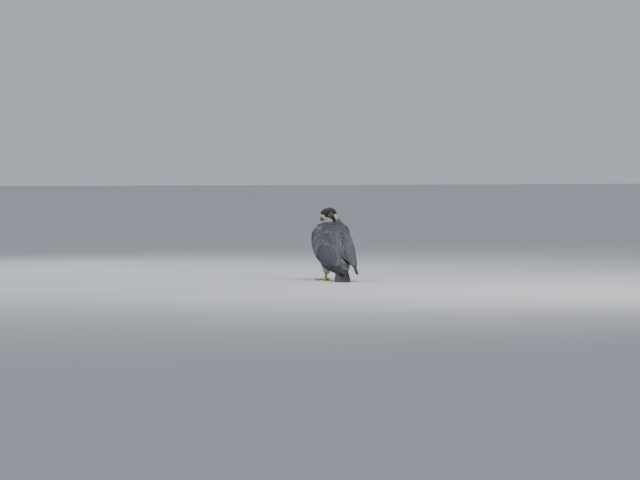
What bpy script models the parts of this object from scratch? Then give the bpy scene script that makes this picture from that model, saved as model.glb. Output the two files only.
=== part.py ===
"""A life-size adult peregrine falcon, standing hunched on level ground with its wings folded.

It looks back over its left shoulder, and the end of its tail lies on the ground. The bird faces -Y and its left side
is +X. Sizes are metres. The shapes are laid out from the point midway between the feet, and at the end everything is
moved so that the origin is on the ground under the middle of the outline.
"""

from math import asin, cos, pi, radians, sin

import bmesh
import bpy
import numpy as np
from mathutils import Matrix, Vector
from mathutils.bvhtree import BVHTree

# Driving sizes of an adult between a large male and a small female
TAIL_LENGTH = 0.163
TAIL_HALF_WIDTH = 0.0275
EYE_RADIUS = 0.0076
CERE_LENGTH = 0.0075
SHANK_RADIUS = 0.0040
MIDDLE_TOE = 0.046

# Pose: how far the head turns to the left, looks down and leans over, and how far the tail swings to the left
HEAD_CENTRE = Vector((0.0115, -0.0350, 0.2320))
HEAD_TURN = radians(112)
HEAD_NOD = radians(18)
HEAD_TILT = radians(3)
TAIL_ROOT = Vector((0.0, 0.070, 0.0580))
TAIL_SWING = radians(16)

# The feet stand on the floor, and neighbouring pieces stay this far apart
FLOOR = 0.0
JOINT_GAP = 0.0003

# How far the folded wing stands proud of the body, and from how near its inner face is sunk into the body
WING_PROUD = 0.0028
WING_REACH = 0.0075

# Body from the under-tail coverts up to the base of the neck: the spine's place in the plane of symmetry (y, z),
# half the width, the depth to the back, the depth to the breast, and how square the section is
TRUNK_STATIONS = (
    (0.1040, 0.0420, 0.0080, 0.0040, 0.0050, 2.0),
    (0.0880, 0.0510, 0.0170, 0.0095, 0.0130, 2.0),
    (0.0620, 0.0660, 0.0300, 0.0200, 0.0290, 2.1),
    (0.0340, 0.0880, 0.0430, 0.0310, 0.0470, 2.2),
    (0.0060, 0.1150, 0.0550, 0.0420, 0.0600, 2.3),
    (-0.0190, 0.1450, 0.0600, 0.0490, 0.0640, 2.3),
    (-0.0370, 0.1700, 0.0585, 0.0485, 0.0575, 2.2),
    (-0.0455, 0.1890, 0.0515, 0.0440, 0.0480, 2.1),
    (-0.0455, 0.2035, 0.0415, 0.0365, 0.0395, 2.0),
)

# Neck up into the skull: centre (x, y, z), half width, depth behind, depth in front
NECK_STATIONS = (
    (0.0000, -0.0455, 0.1990, 0.0405, 0.0350, 0.0385),
    (0.0000, -0.0455, 0.2040, 0.0405, 0.0355, 0.0385),
    (0.0020, -0.0445, 0.2095, 0.0374, 0.0334, 0.0354),
    (0.0050, -0.0420, 0.2160, 0.0330, 0.0305, 0.0315),
    (0.0090, -0.0375, 0.2240, 0.0270, 0.0262, 0.0262),
    (0.0115, -0.0350, 0.2310, 0.0190, 0.0185, 0.0185),
)

# Head from the nape to the bill, in its own frame facing -Y about its middle: y, the section's height, half width,
# depth up, depth down, and how square the section is
HEAD_STATIONS = (
    (0.0278, -0.0010, 0.0037, 0.0032, 0.0042, 2.0),
    (0.0249, -0.0005, 0.0133, 0.0110, 0.0132, 2.0),
    (0.0159, 0.0000, 0.0218, 0.0184, 0.0196, 2.1),
    (0.0042, 0.0005, 0.0258, 0.0216, 0.0217, 2.3),
    (-0.0074, 0.0005, 0.0250, 0.0212, 0.0207, 2.4),
    (-0.0158, -0.0003, 0.0200, 0.0186, 0.0180, 2.4),
    (-0.0212, -0.0015, 0.0146, 0.0145, 0.0142, 2.2),
    (-0.0250, -0.0025, 0.0100, 0.0105, 0.0104, 2.1),
    (-0.0266, -0.0028, 0.0060, 0.0068, 0.0068, 2.0),
)
EYE_CENTRE = Vector((0.0176, -0.0098, 0.0038))

# Bill, measured from its root in the head's frame: how far forward, height of the middle, half width, half height,
# and how far the section leans. The hook starts where the cere ends
BILL_ROOT = Vector((0.0, -0.0240, -0.0018))
CERE_STATIONS = (
    (-0.0030, 0.0000, 0.0072, 0.0080, 0.00),
    (0.0000, 0.0000, 0.0076, 0.0086, 0.00),
    (0.0030, 0.0001, 0.0073, 0.0082, -0.05),
    (0.0060, 0.0001, 0.0064, 0.0073, -0.12),
    (CERE_LENGTH, 0.0000, 0.0058, 0.0066, -0.15),
)
HOOK_STATIONS = (
    (CERE_LENGTH + JOINT_GAP, 0.0001, 0.0056, 0.0063, -0.15),
    (CERE_LENGTH + 0.0033, -0.0006, 0.0050, 0.0058, -0.35),
    (CERE_LENGTH + 0.0065, -0.0028, 0.0040, 0.0047, -0.75),
    (CERE_LENGTH + 0.0083, -0.0064, 0.0027, 0.0032, -1.20),
    (CERE_LENGTH + 0.0083, -0.0100, 0.0014, 0.0017, -1.60),
    (CERE_LENGTH + 0.0075, -0.0130, 0.0003, 0.0004, -1.75),
)
LOWER_BILL_STATIONS = (
    (-0.0020, -0.0098, 0.0056, 0.0028, 0.00),
    (0.0040, -0.0100, 0.0054, 0.0030, 0.00),
    (0.0085, -0.0098, 0.0042, 0.0026, 0.10),
    (0.0120, -0.0092, 0.0022, 0.0014, 0.20),
    (0.0128, -0.0089, 0.0008, 0.0006, 0.20),
)

# Folded left wing from the wrist back to the tips of the tertials: centre of the blade (x, y, z), the way it faces
# (x, y, z), half width, thickness, and the radius of its wrap round the body
WING_STATIONS = (
    (0.0420, -0.0830, 0.1520, 0.78, -0.62, 0.05, 0.0110, 0.0090, 0.045),
    (0.0500, -0.0705, 0.1560, 0.91, -0.38, 0.14, 0.0300, 0.0240, 0.050),
    (0.0540, -0.0460, 0.1495, 0.96, -0.12, 0.24, 0.0450, 0.0310, 0.054),
    (0.0550, -0.0110, 0.1300, 0.92, 0.12, 0.36, 0.0515, 0.0310, 0.055),
    (0.0505, 0.0270, 0.1050, 0.82, 0.28, 0.50, 0.0465, 0.0260, 0.054),
    (0.0425, 0.0650, 0.0810, 0.68, 0.36, 0.64, 0.0355, 0.0170, 0.050),
    (0.0330, 0.0970, 0.0615, 0.56, 0.38, 0.74, 0.0220, 0.0090, 0.044),
    (0.0270, 0.1180, 0.0510, 0.50, 0.40, 0.78, 0.0070, 0.0030, 0.040),
)
WING_RIM = 0.0010

# The long primaries of the left wing, from under the secondaries to the wing tip, in the same terms
PRIMARY_STATIONS = (
    (0.0560, 0.0300, 0.0770, 0.86, 0.24, 0.42, 0.0190, 0.0060, 0.060),
    (0.0485, 0.0700, 0.0620, 0.78, 0.28, 0.54, 0.0205, 0.0055, 0.060),
    (0.0375, 0.1100, 0.0500, 0.66, 0.30, 0.68, 0.0185, 0.0042, 0.060),
    (0.0280, 0.1450, 0.0400, 0.54, 0.34, 0.76, 0.0140, 0.0028, 0.060),
    (0.0210, 0.1680, 0.0335, 0.46, 0.36, 0.80, 0.0080, 0.0018, 0.060),
    (0.0180, 0.1800, 0.0295, 0.42, 0.38, 0.82, 0.0022, 0.0010, 0.060),
)
PRIMARY_RIM = 0.0008

# Tail: thickness at the root and at the tip, how far the edges droop, how far it bows upwards, how far below the
# floor its tip would reach if it were not laid on it, and how much shorter and narrower its corners are
TAIL_ROOT_THICKNESS = 0.0074
TAIL_TIP_THICKNESS = 0.0012
TAIL_LEAST_THICKNESS = 0.0010
TAIL_DROOP = 0.0075
TAIL_BOW = 0.010
TAIL_PRESS = 0.0075
TAIL_CORNER_SHORT = 0.115
TAIL_CORNER_NARROW = 0.20
TAIL_CORNER_START = 0.82

# Left thigh in its trousers of feathers: centre (x, y, z), half width, depth behind, depth in front
THIGH_STATIONS = (
    (0.0300, 0.0020, 0.1000, 0.0110, 0.0120, 0.0120),
    (0.0305, 0.0025, 0.0880, 0.0220, 0.0250, 0.0250),
    (0.0315, 0.0070, 0.0680, 0.0240, 0.0275, 0.0265),
    (0.0330, 0.0110, 0.0480, 0.0180, 0.0210, 0.0190),
    (0.0340, 0.0110, 0.0320, 0.0120, 0.0135, 0.0120),
    (0.0345, 0.0090, 0.0230, 0.0068, 0.0072, 0.0066),
)

# Bare left shank and the pad under it: centre (x, y, z) and radius
SHANK_STATIONS = (
    (0.0340, 0.0130, 0.0400, SHANK_RADIUS * 1.10),
    (0.0345, 0.0110, 0.0310, SHANK_RADIUS),
    (0.0350, 0.0075, 0.0210, SHANK_RADIUS),
    (0.0352, 0.0040, 0.0125, SHANK_RADIUS * 1.20),
    (0.0354, 0.0015, 0.0075, SHANK_RADIUS * 1.65),
    (0.0355, 0.0005, 0.0035, SHANK_RADIUS * 1.70),
)
FOOT_CENTRE = Vector((0.0355, 0.0005, 0.0))

# Each toe: its heading from straight ahead (outwards is positive), length, thickness at the root, claw length
TOES = {
    "middle": (radians(2), MIDDLE_TOE, 0.0040, 0.0150),
    "hind": (radians(172), MIDDLE_TOE * 0.50, 0.0042, 0.0190),
    "inner": (radians(-38), MIDDLE_TOE * 0.70, 0.0042, 0.0180),
    "outer": (radians(42), MIDDLE_TOE * 0.78, 0.0037, 0.0130),
}
TOE_START = 0.0050
TOE_PADS = 3
TOE_PAD_SWELL = 0.14
TOE_TAPER = 0.26
TOE_RISE = 0.82
TOE_SINK = 0.20

SIDES = {"l": 1, "r": -1}


def clear_scene():
    for obj in list(bpy.data.objects):
        bpy.data.objects.remove(obj)


def new_collection(name):
    collection = bpy.data.collections.new(name)
    bpy.context.scene.collection.children.link(collection)
    return collection


def surface_finish(name, colour, roughness):
    material = bpy.data.materials.new(name)
    material.use_nodes = True
    shader = material.node_tree.nodes["Principled BSDF"]
    shader.inputs["Base Color"].default_value = (*colour, 1.0)
    shader.inputs["Roughness"].default_value = roughness
    shader.inputs["Metallic"].default_value = 0.0
    return material


def through(stations, count):
    """Reads the stations' columns at even steps along a smooth curve that passes through every station."""
    rows = np.array(stations, float)
    padded = np.vstack([2 * rows[0] - rows[1], rows, 2 * rows[-1] - rows[-2]])
    steps = np.linspace(0, len(rows) - 1, count)
    first = np.minimum(steps.astype(int), len(rows) - 2)
    t = (steps - first)[:, None]
    before, start, end, after = (padded[first + k] for k in range(4))
    slope_in, slope_out = (end - before) / 2, (after - start) / 2
    return (
        (2 * t**3 - 3 * t**2 + 1) * start
        + (t**3 - 2 * t**2 + t) * slope_in
        + (3 * t**2 - 2 * t**3) * end
        + (t**3 - t**2) * slope_out
    )


def turns(sides):
    """The angles of a ring's points."""
    return np.arange(sides) * 2 * pi / sides


def squared(value, square):
    """A sine or cosine bent towards a rounded square; 2 leaves it round."""
    return np.sign(value) * abs(value) ** (2 / square)


def mesh_object(name, points, faces, material, collection):
    mesh = bpy.data.meshes.new(name)
    mesh.from_pydata([tuple(p) for p in points], [], faces)
    work = bmesh.new()
    work.from_mesh(mesh)
    bmesh.ops.remove_doubles(work, verts=work.verts, dist=1e-6)
    bmesh.ops.triangulate(work, faces=work.faces)
    bmesh.ops.recalc_face_normals(work, faces=work.faces)
    work.to_mesh(mesh)
    work.free()
    mesh.shade_smooth()
    mesh.materials.append(material)
    obj = bpy.data.objects.new(name, mesh)
    collection.objects.link(obj)
    return obj


def loft(name, rings, material, collection):
    """A closed skin over rings that hold the same number of points."""
    sides = len(rings[0])
    faces = []
    for row in range(len(rings) - 1):
        for k in range(sides):
            here, after = row * sides + k, row * sides + (k + 1) % sides
            faces.append((here, after, after + sides, here + sides))
    last = (len(rings) - 1) * sides
    faces.append(tuple(range(sides)))
    faces.append(tuple(range(last, last + sides)))
    return mesh_object(name, [p for ring in rings for p in ring], faces, material, collection)


def slab(name, top, bottom, material, collection):
    """A closed sheet between two grids of points, with a wall round its rim."""
    top, bottom = np.asarray(top, float), np.asarray(bottom, float)
    rows, columns = top.shape[:2]
    under = rows * columns
    faces = []
    for i in range(rows - 1):
        for j in range(columns - 1):
            a = i * columns + j
            b, c, d = a + 1, a + columns + 1, a + columns
            faces += [(a, b, c, d), (under + d, under + c, under + b, under + a)]
    rim = (
        list(range(columns))
        + [i * columns + columns - 1 for i in range(1, rows)]
        + [(rows - 1) * columns + j for j in range(columns - 2, -1, -1)]
        + [i * columns for i in range(rows - 2, 0, -1)]
    )
    for k, a in enumerate(rim):
        b = rim[(k + 1) % len(rim)]
        faces.append((b, a, under + a, under + b))
    points = np.vstack([top.reshape(-1, 3), bottom.reshape(-1, 3)])
    return mesh_object(name, points, faces, material, collection)


def trunk_rings(count, sides):
    """Rings square to the spine, which runs in the plane of symmetry."""
    rows = through(TRUNK_STATIONS, count)
    along = np.gradient(rows[:, :2], axis=0)
    along /= np.linalg.norm(along, axis=1)[:, None]
    rings = []
    for (y, z, wide, back, breast, square), (dy, dz) in zip(rows, along):
        ring = []
        for turn in turns(sides):
            out = squared(sin(turn), square) * (back if sin(turn) > 0 else breast)
            ring.append((squared(cos(turn), square) * wide, y + dz * out, z - dy * out))
        rings.append(ring)
    return rings


def head_rings(count, sides):
    """Upright rings from the nape to the bill, in the head's own frame."""
    rings = []
    for y, z, wide, up, down, square in through(HEAD_STATIONS, count):
        ring = []
        for turn in turns(sides):
            high = squared(sin(turn), square) * (up if sin(turn) > 0 else down)
            ring.append((squared(cos(turn), square) * wide, y, z + high))
        rings.append(ring)
    return rings


def bill_rings(stations, count, sides):
    """Leaning rings from the bill's root forwards, in the head's own frame."""
    rings = []
    for ahead, z, wide, high, lean in through(stations, count):
        ring = []
        for turn in turns(sides):
            up = high * sin(turn)
            ring.append((wide * cos(turn), up * sin(lean) - ahead, z + up * cos(lean)))
        rings.append([BILL_ROOT + Vector(point) for point in ring])
    return rings


def level_rings(stations, count, sides, mirror=1):
    """Level oval rings up a neck or a limb; mirror is -1 on the right side."""
    rings = []
    for x, y, z, wide, behind, front in through(stations, count):
        ring = []
        for turn in turns(sides):
            deep = behind if sin(turn) > 0 else front
            ring.append(((x + wide * cos(turn)) * mirror, y + deep * sin(turn), z))
        rings.append(ring)
    return rings


def tube_rings(centres, radii, sides, lowest=None):
    """Round rings square to a path, one side facing down. Points below the lowest level are pressed up to it."""
    centres = [Vector(c) for c in centres]
    rings = []
    for k, (centre, radius) in enumerate(zip(centres, radii)):
        along = centres[min(k + 1, len(centres) - 1)] - centres[max(k - 1, 0)]
        across = along.cross(Vector((0, 0, 1))).normalized()
        up = across.cross(along).normalized()
        ring = []
        for turn in turns(sides) + pi / sides:
            point = centre + (across * cos(turn) + up * sin(turn)) * float(radius)
            if lowest is not None:
                point.z = max(point.z, lowest)
            ring.append(tuple(point))
        rings.append(ring)
    return rings


def surface_of(obj):
    """The object's shape before it is cut, for finding how far off it a point lies."""
    return BVHTree.FromPolygons([v.co for v in obj.data.vertices], [p.vertices for p in obj.data.polygons])


def height_over(body, point):
    """How far a point lies outside a body, negative inside it."""
    nearest, normal, _, _ = body.find_nearest(Vector(point))
    return (Vector(point) - nearest).dot(normal)


def laid_on(body, top, bottom, face):
    """Moves a blade's two faces so that the outer stays proud of the body and the inner is sunk into it."""
    lift = max(WING_PROUD - height_over(body, top), 0)
    depth = height_over(body, bottom) + WING_PROUD
    if 0 < depth < WING_REACH:
        return top + face * lift, bottom - face * depth
    return top + face * lift, bottom + face * lift


def blade_grids(stations, rows, columns, mirror, rim, body=None):
    """Outer and inner surface of a curved blade, thick in its middle and thin at its rim, laid on a body if given."""
    read = through(stations, rows)
    along = np.gradient(read[:, :3], axis=0)
    along /= np.linalg.norm(along, axis=1)[:, None]
    outer, inner = [], []
    for row, run in zip(read, along):
        centre, facing, (wide, thick, wrap) = row[:3], row[3:6], row[6:]
        normal = facing - run * (facing @ run)
        normal /= np.linalg.norm(normal)
        dorsal = np.cross(normal, run)
        outer_row, inner_row = [], []
        for across in np.linspace(-1, 1, columns):
            bend = across * wide / wrap
            half = rim / 2 + max(thick - rim, 0) / 2 * (1 - abs(across) ** 3) ** 0.5
            face = normal * cos(bend) + dorsal * sin(bend)
            place = centre + dorsal * wrap * sin(bend) + normal * wrap * (cos(bend) - 1)
            top, bottom = place + face * half, place - face * half
            if body:
                top, bottom = laid_on(body, top, bottom, face)
            outer_row.append((top[0] * mirror, top[1], top[2]))
            inner_row.append((bottom[0] * mirror, bottom[1], bottom[2]))
        outer.append(outer_row)
        inner.append(inner_row)
    return outer, inner


def room_round(obj, cutters):
    """A cutter in the object's own shape, grown by the joint gap on all sides."""
    mesh = obj.data.copy()
    work = bmesh.new()
    work.from_mesh(mesh)
    work.normal_update()
    places = [v.co + v.normal * JOINT_GAP for v in work.verts]
    for vert, place in zip(work.verts, places):
        vert.co = place
    work.to_mesh(mesh)
    work.free()
    cutter = bpy.data.objects.new(obj.name + "_room", mesh)
    cutters.objects.link(cutter)
    cutter.hide_render = True
    cutter.display_type = "WIRE"
    return cutter


def give_way(piece, *cutters):
    """Cuts each cutter out of the piece."""
    for cutter in cutters:
        cut = piece.modifiers.new("room_for_" + cutter.name, "BOOLEAN")
        cut.operation = "DIFFERENCE"
        cut.solver = "EXACT"
        cut.object = cutter


def placed_by_head(obj):
    """Moves a piece from the head's own frame to where the turned head holds it."""
    turn = Matrix.Rotation(HEAD_TURN, 4, "Z")
    nod = Matrix.Rotation(HEAD_NOD, 4, "X")
    tilt = Matrix.Rotation(HEAD_TILT, 4, "Y")
    obj.data.transform(Matrix.Translation(HEAD_CENTRE) @ turn @ nod @ tilt)
    return obj


def make_eye(side, mirror, finishes, parts):
    bpy.ops.mesh.primitive_uv_sphere_add(segments=12, ring_count=8, radius=EYE_RADIUS)
    eye = bpy.context.object
    eye.name = eye.data.name = "eye_" + side
    for owner in eye.users_collection:
        owner.objects.unlink(eye)
    parts.objects.link(eye)
    eye.data.transform(Matrix.Translation((EYE_CENTRE.x * mirror, EYE_CENTRE.y, EYE_CENTRE.z)))
    eye.data.materials.append(finishes["eye"])
    eye.data.shade_smooth()
    return placed_by_head(eye)


def make_head(finishes, parts, cutters):
    """Skull, eyes, cere and both halves of the bill. Returns the pieces that the neck gives way to."""
    head = placed_by_head(loft("head", head_rings(12, 18), finishes["plumage_dark"], parts))
    for side, mirror in SIDES.items():
        give_way(head, room_round(make_eye(side, mirror, finishes, parts), cutters))
    cere = placed_by_head(loft("cere", bill_rings(CERE_STATIONS, 7, 14), finishes["yellow_skin"], parts))
    lower = loft("bill_lower", bill_rings(LOWER_BILL_STATIONS, 7, 12), finishes["horn"], parts)
    placed_by_head(lower)
    placed_by_head(loft("bill_upper", bill_rings(HOOK_STATIONS, 10, 12), finishes["horn"], parts))
    cere_room, lower_room = room_round(cere, cutters), room_round(lower, cutters)
    give_way(lower, cere_room)
    give_way(head, cere_room, lower_room)
    return cere_room, lower_room, room_round(head, cutters)


def make_tail(finishes, parts):
    """The closed tail feathers as one thin arched fan, its corners rounded, its end laid on the floor."""
    slope = asin((TAIL_ROOT.z + TAIL_PRESS) / TAIL_LENGTH)
    away = Vector((sin(TAIL_SWING), cos(TAIL_SWING), 0))
    across = away.cross(Vector((0, 0, 1)))
    top, bottom = [], []
    for u in np.linspace(0, 1, 11):
        spread = TAIL_HALF_WIDTH * (0.52 + 0.48 * sin(min(u * 1.15, 1) * pi / 2))
        thick = (TAIL_ROOT_THICKNESS - TAIL_TIP_THICKNESS) * (1 - u) ** 1.2 + TAIL_TIP_THICKNESS
        bow = TAIL_BOW * sin(u * pi) * (1 - u)
        to_tip = max(u - TAIL_CORNER_START, 0) / (1 - TAIL_CORNER_START)
        top_row, bottom_row = [], []
        for v in np.linspace(-1, 1, 9):
            reach = TAIL_LENGTH * u * (1 - TAIL_CORNER_SHORT * abs(v) ** 2.4 * u**2)
            half_width = spread * (1 - TAIL_CORNER_NARROW * to_tip * v**2)
            place = TAIL_ROOT + away * reach * cos(slope) - across * v * half_width
            height = place.z - reach * sin(slope) + bow - TAIL_DROOP * (1 - 0.75 * u) * v**2
            top_row.append((place.x, place.y, max(height + thick / 2, FLOOR + TAIL_LEAST_THICKNESS)))
            bottom_row.append((place.x, place.y, max(height - thick / 2, FLOOR)))
        top.append(top_row)
        bottom.append(bottom_row)
    return slab("tail", top, bottom, finishes["flight_feather"], parts)


def make_wing(side, mirror, finishes, parts, body):
    outer, inner = blade_grids(WING_STATIONS, 13, 9, mirror, WING_RIM, body)
    return slab("wing_" + side, outer, inner, finishes["plumage_back"], parts)


def make_primaries(side, mirror, finishes, parts):
    outer, inner = blade_grids(PRIMARY_STATIONS, 10, 5, mirror, PRIMARY_RIM)
    return slab("primaries_" + side, outer, inner, finishes["flight_feather"], parts)


def along_toe(mirror, heading, reach, height):
    forward = Vector((sin(heading) * mirror, -cos(heading), 0))
    return Vector((FOOT_CENTRE.x * mirror, FOOT_CENTRE.y, height)) + forward * reach


def make_toe(name, mirror, heading, length, thick, finishes, parts):
    """A toe lying on the floor, swollen at its joint pads and blunt at its end."""
    centres, radii = [], []
    for u in np.linspace(TOE_START / length, 1, 9):
        pads = 1 + TOE_PAD_SWELL * cos(u * TOE_PADS * 2 * pi)
        blunt = 0.55 if u == 1 else 1
        radii.append(thick * (1 - TOE_TAPER * u) * pads * blunt)
        centres.append(along_toe(mirror, heading, length * u, thick * (TOE_RISE - TOE_SINK * u)))
    return loft(name, tube_rings(centres, radii, 8, FLOOR), finishes["yellow_skin"], parts)


def make_claw(name, mirror, heading, toe_length, thick, length, finishes, parts):
    """A curved claw that leaves the front of the toe, rises a little and comes down to just above the floor."""
    centres, radii = [], []
    start, tip = thick * 1.02, thick * 0.16
    for u in np.linspace(0, 1, 6):
        reach = toe_length * 0.965 + length * 0.74 * sin(u * pi / 2)
        height = start + (tip - start) * u**1.6 + length * 0.17 * sin(u * pi * 0.92)
        centres.append(along_toe(mirror, heading, reach, height))
        radii.append(thick * 0.62 * (1 - u) ** 0.75 + 0.0003)
    return loft(name, tube_rings(centres, radii, 6), finishes["claw"], parts)


def make_foot(side, mirror, shank_room, finishes, parts, cutters):
    """Four toes round the shank's pad, each giving way to its claw; the side toes give way to the middle one."""
    for name, (heading, length, thick, claw_length) in TOES.items():
        toe = make_toe(f"toe_{name}_{side}", mirror, heading, length, thick, finishes, parts)
        claw = make_claw(f"claw_{name}_{side}", mirror, heading, length, thick, claw_length, finishes, parts)
        give_way(toe, shank_room, room_round(claw, cutters))
        if name == "middle":
            middle_room = room_round(toe, cutters)
        elif name != "hind":
            give_way(toe, middle_room)


def make_leg(side, mirror, finishes, parts, cutters):
    """Feathered thigh over a bare shank and foot."""
    thigh = loft("thigh_" + side, level_rings(THIGH_STATIONS, 9, 14, mirror), finishes["plumage_pale"], parts)
    rows = through(SHANK_STATIONS, 9)
    centres = [(x * mirror, y, z) for x, y, z, _ in rows]
    shank = loft("shank_" + side, tube_rings(centres, rows[:, 3], 10, FLOOR), finishes["yellow_skin"], parts)
    shank_room = room_round(shank, cutters)
    give_way(thigh, shank_room)
    make_foot(side, mirror, shank_room, finishes, parts, cutters)
    return thigh


def stand_on_origin(parts):
    """Moves everything so that the origin is on the floor under the middle of the outline."""
    graph = bpy.context.evaluated_depsgraph_get()
    corners = np.array([c for o in parts.objects for c in o.evaluated_get(graph).bound_box])
    low, high = corners.min(axis=0), corners.max(axis=0)
    shift = Matrix.Translation((-(low[0] + high[0]) / 2, -(low[1] + high[1]) / 2, -low[2]))
    for obj in bpy.data.objects:
        obj.data.transform(shift)


def main():
    clear_scene()
    parts, cutters = new_collection("peregrine_falcon"), new_collection("cutters")
    finishes = {
        "plumage_dark": surface_finish("plumage_dark", (0.035, 0.037, 0.045), 0.75),
        "plumage_back": surface_finish("plumage_back", (0.125, 0.135, 0.165), 0.70),
        "plumage_pale": surface_finish("plumage_pale", (0.62, 0.60, 0.56), 0.80),
        "flight_feather": surface_finish("flight_feather", (0.045, 0.048, 0.058), 0.60),
        "yellow_skin": surface_finish("yellow_skin", (0.72, 0.50, 0.06), 0.50),
        "horn": surface_finish("horn", (0.05, 0.06, 0.08), 0.30),
        "claw": surface_finish("claw", (0.015, 0.014, 0.014), 0.25),
        "eye": surface_finish("eye", (0.012, 0.008, 0.006), 0.05),
    }
    trunk = loft("trunk", trunk_rings(17, 20), finishes["plumage_pale"], parts)
    body, trunk_room = surface_of(trunk), room_round(trunk, cutters)
    neck = loft("neck", level_rings(NECK_STATIONS, 7, 18), finishes["plumage_back"], parts)
    give_way(neck, trunk_room, *make_head(finishes, parts, cutters))
    tail_room = room_round(make_tail(finishes, parts), cutters)
    give_way(trunk, tail_room)
    for side, mirror in SIDES.items():
        wing_room = room_round(make_wing(side, mirror, finishes, parts, body), cutters)
        give_way(make_primaries(side, mirror, finishes, parts), tail_room, wing_room)
        thigh = make_leg(side, mirror, finishes, parts, cutters)
        give_way(trunk, wing_room, room_round(thigh, cutters))
        give_way(thigh, wing_room)
    stand_on_origin(parts)


main()
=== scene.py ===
# %% [markdown]
# # A peregrine falcon in full plumage
# The solid model gives the falcon's outline, and this lesson dresses it. One skin takes the place of the solid flesh,
# several thousand feathers are laid over it, and the bill, eyes and feet are modelled at close range. Everything is
# in metres, the bird faces -Y, its left side is +X, and the ground is at zero height.

# %% Load the solid model
from math import cos, pi, radians, sin

import bmesh
import bpy
import numpy as np
from mathutils import Matrix, Vector
from mathutils.bvhtree import BVHTree
from mathutils.kdtree import KDTree


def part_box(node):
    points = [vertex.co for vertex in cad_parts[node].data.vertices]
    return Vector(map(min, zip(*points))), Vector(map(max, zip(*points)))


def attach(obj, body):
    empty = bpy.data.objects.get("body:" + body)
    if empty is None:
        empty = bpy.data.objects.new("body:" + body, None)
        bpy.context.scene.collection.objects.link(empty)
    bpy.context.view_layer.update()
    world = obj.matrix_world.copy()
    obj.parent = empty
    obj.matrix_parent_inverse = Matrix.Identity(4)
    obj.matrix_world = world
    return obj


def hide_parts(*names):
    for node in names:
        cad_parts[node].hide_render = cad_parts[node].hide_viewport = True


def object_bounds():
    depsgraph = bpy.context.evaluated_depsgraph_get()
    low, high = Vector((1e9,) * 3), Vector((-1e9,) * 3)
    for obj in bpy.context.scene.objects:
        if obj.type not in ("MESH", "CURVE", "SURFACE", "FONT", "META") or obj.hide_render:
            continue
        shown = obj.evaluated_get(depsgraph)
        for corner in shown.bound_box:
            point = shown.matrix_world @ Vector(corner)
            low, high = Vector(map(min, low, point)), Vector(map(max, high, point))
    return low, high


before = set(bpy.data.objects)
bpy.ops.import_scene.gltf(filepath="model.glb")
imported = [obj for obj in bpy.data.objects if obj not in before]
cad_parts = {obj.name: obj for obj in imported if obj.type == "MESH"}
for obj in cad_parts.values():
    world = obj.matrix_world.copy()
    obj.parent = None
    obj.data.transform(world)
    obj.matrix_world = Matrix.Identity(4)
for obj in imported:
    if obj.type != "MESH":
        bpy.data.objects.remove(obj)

SOLID_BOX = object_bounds()
FLESH = ["head", "neck", "trunk", "wing_l", "wing_r", "thigh_l", "thigh_r"]
SIDES = {"l": 1, "r": -1}
print("solid box", [tuple(round(c, 4) for c in corner) for corner in SOLID_BOX])

# %% [markdown]
# ## Finding the head and the feet
# The head is turned far round to the left, so its details are easier to place in a frame of its own, where it looks
# along -Y from its middle. The two eyes tell where that frame lies. The rest of the body was laid out from the point
# midway between the feet, and the same eyes tell how far the body has been moved since.

# %% The head's own frame
EYE_RADIUS = 0.0076
EYE_CENTRE = np.array((0.0176, -0.0098, 0.0038))
HEAD_LAID_OUT = np.array((0.0115, -0.0350, 0.2320))
HEAD_POSE = Matrix.Rotation(radians(112), 3, "Z") @ Matrix.Rotation(radians(18), 3, "X") @ Matrix.Rotation(radians(3), 3, "Y")
HEAD_AXES = np.array(HEAD_POSE)


def middle(node):
    low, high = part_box(node)
    return np.array((low + high) / 2)


HEAD = (middle("eye_l") + middle("eye_r")) / 2 - HEAD_AXES @ (EYE_CENTRE * (0, 1, 1))
SHIFT = HEAD - HEAD_LAID_OUT
print("head at", HEAD.round(4), "body moved by", SHIFT.round(4))


def in_head(places):
    return (places - HEAD) @ HEAD_AXES


def from_head(places):
    return np.asarray(places) @ HEAD_AXES.T + HEAD


# %% [markdown]
# ## Camera
# The bird was seen from behind and to its left, from far away through a long lens, and it fills only a small part of
# the picture. A long lens here keeps the same flat look. The camera stays near the level of the bird, as it has to
# stay above the ground. A small shift of the lens would move the bird in the frame, but aiming beside it does the same
# and is simpler, as the angle is tiny.

# %% Camera
PICTURE = (640, 480)
BIRD_IN_PICTURE = (340.5, 244.5)
METRES_PER_PIXEL = 0.0035
VIEW_AZIMUTH, VIEW_HEIGHT = radians(162), radians(1.5)
LENS, SENSOR = 200.0, 36.0
box_middle = (SOLID_BOX[0] + SOLID_BOX[1]) / 2
distance = METRES_PER_PIXEL * PICTURE[0] * LENS / SENSOR
toward = Vector((sin(VIEW_AZIMUTH) * cos(VIEW_HEIGHT), -cos(VIEW_AZIMUTH) * cos(VIEW_HEIGHT), sin(VIEW_HEIGHT)))
to_right = Vector((0, 0, 1)).cross(toward).normalized()
camera = bpy.data.objects.new("camera", bpy.data.cameras.new("camera"))
bpy.context.scene.collection.objects.link(camera)
camera.data.lens, camera.data.sensor_width = LENS, SENSOR
camera.data.clip_start, camera.data.clip_end = 0.1, 100
aim = (
    box_middle
    - to_right * (BIRD_IN_PICTURE[0] - PICTURE[0] / 2) * METRES_PER_PIXEL
    + Vector((0, 0, 1)) * (BIRD_IN_PICTURE[1] - PICTURE[1] / 2) * METRES_PER_PIXEL
)
camera.location = aim + toward * distance
camera.rotation_mode = "QUATERNION"
camera.rotation_quaternion = (-toward).to_track_quat("-Z", "Y")
bpy.context.scene.camera = camera
print("camera", round(distance, 2), "m away")

# %% [markdown]
# ## Wiring materials with sums
# A material's nodes can be wired by hand, one link at a time, but long formulas become hard to read. This small class
# stands for one socket, and a sum of two of them adds the node that works it out. Plain numbers go through Math nodes,
# and colours and directions through Mix and Vector Math nodes, because a Math node would turn a colour grey.

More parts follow.
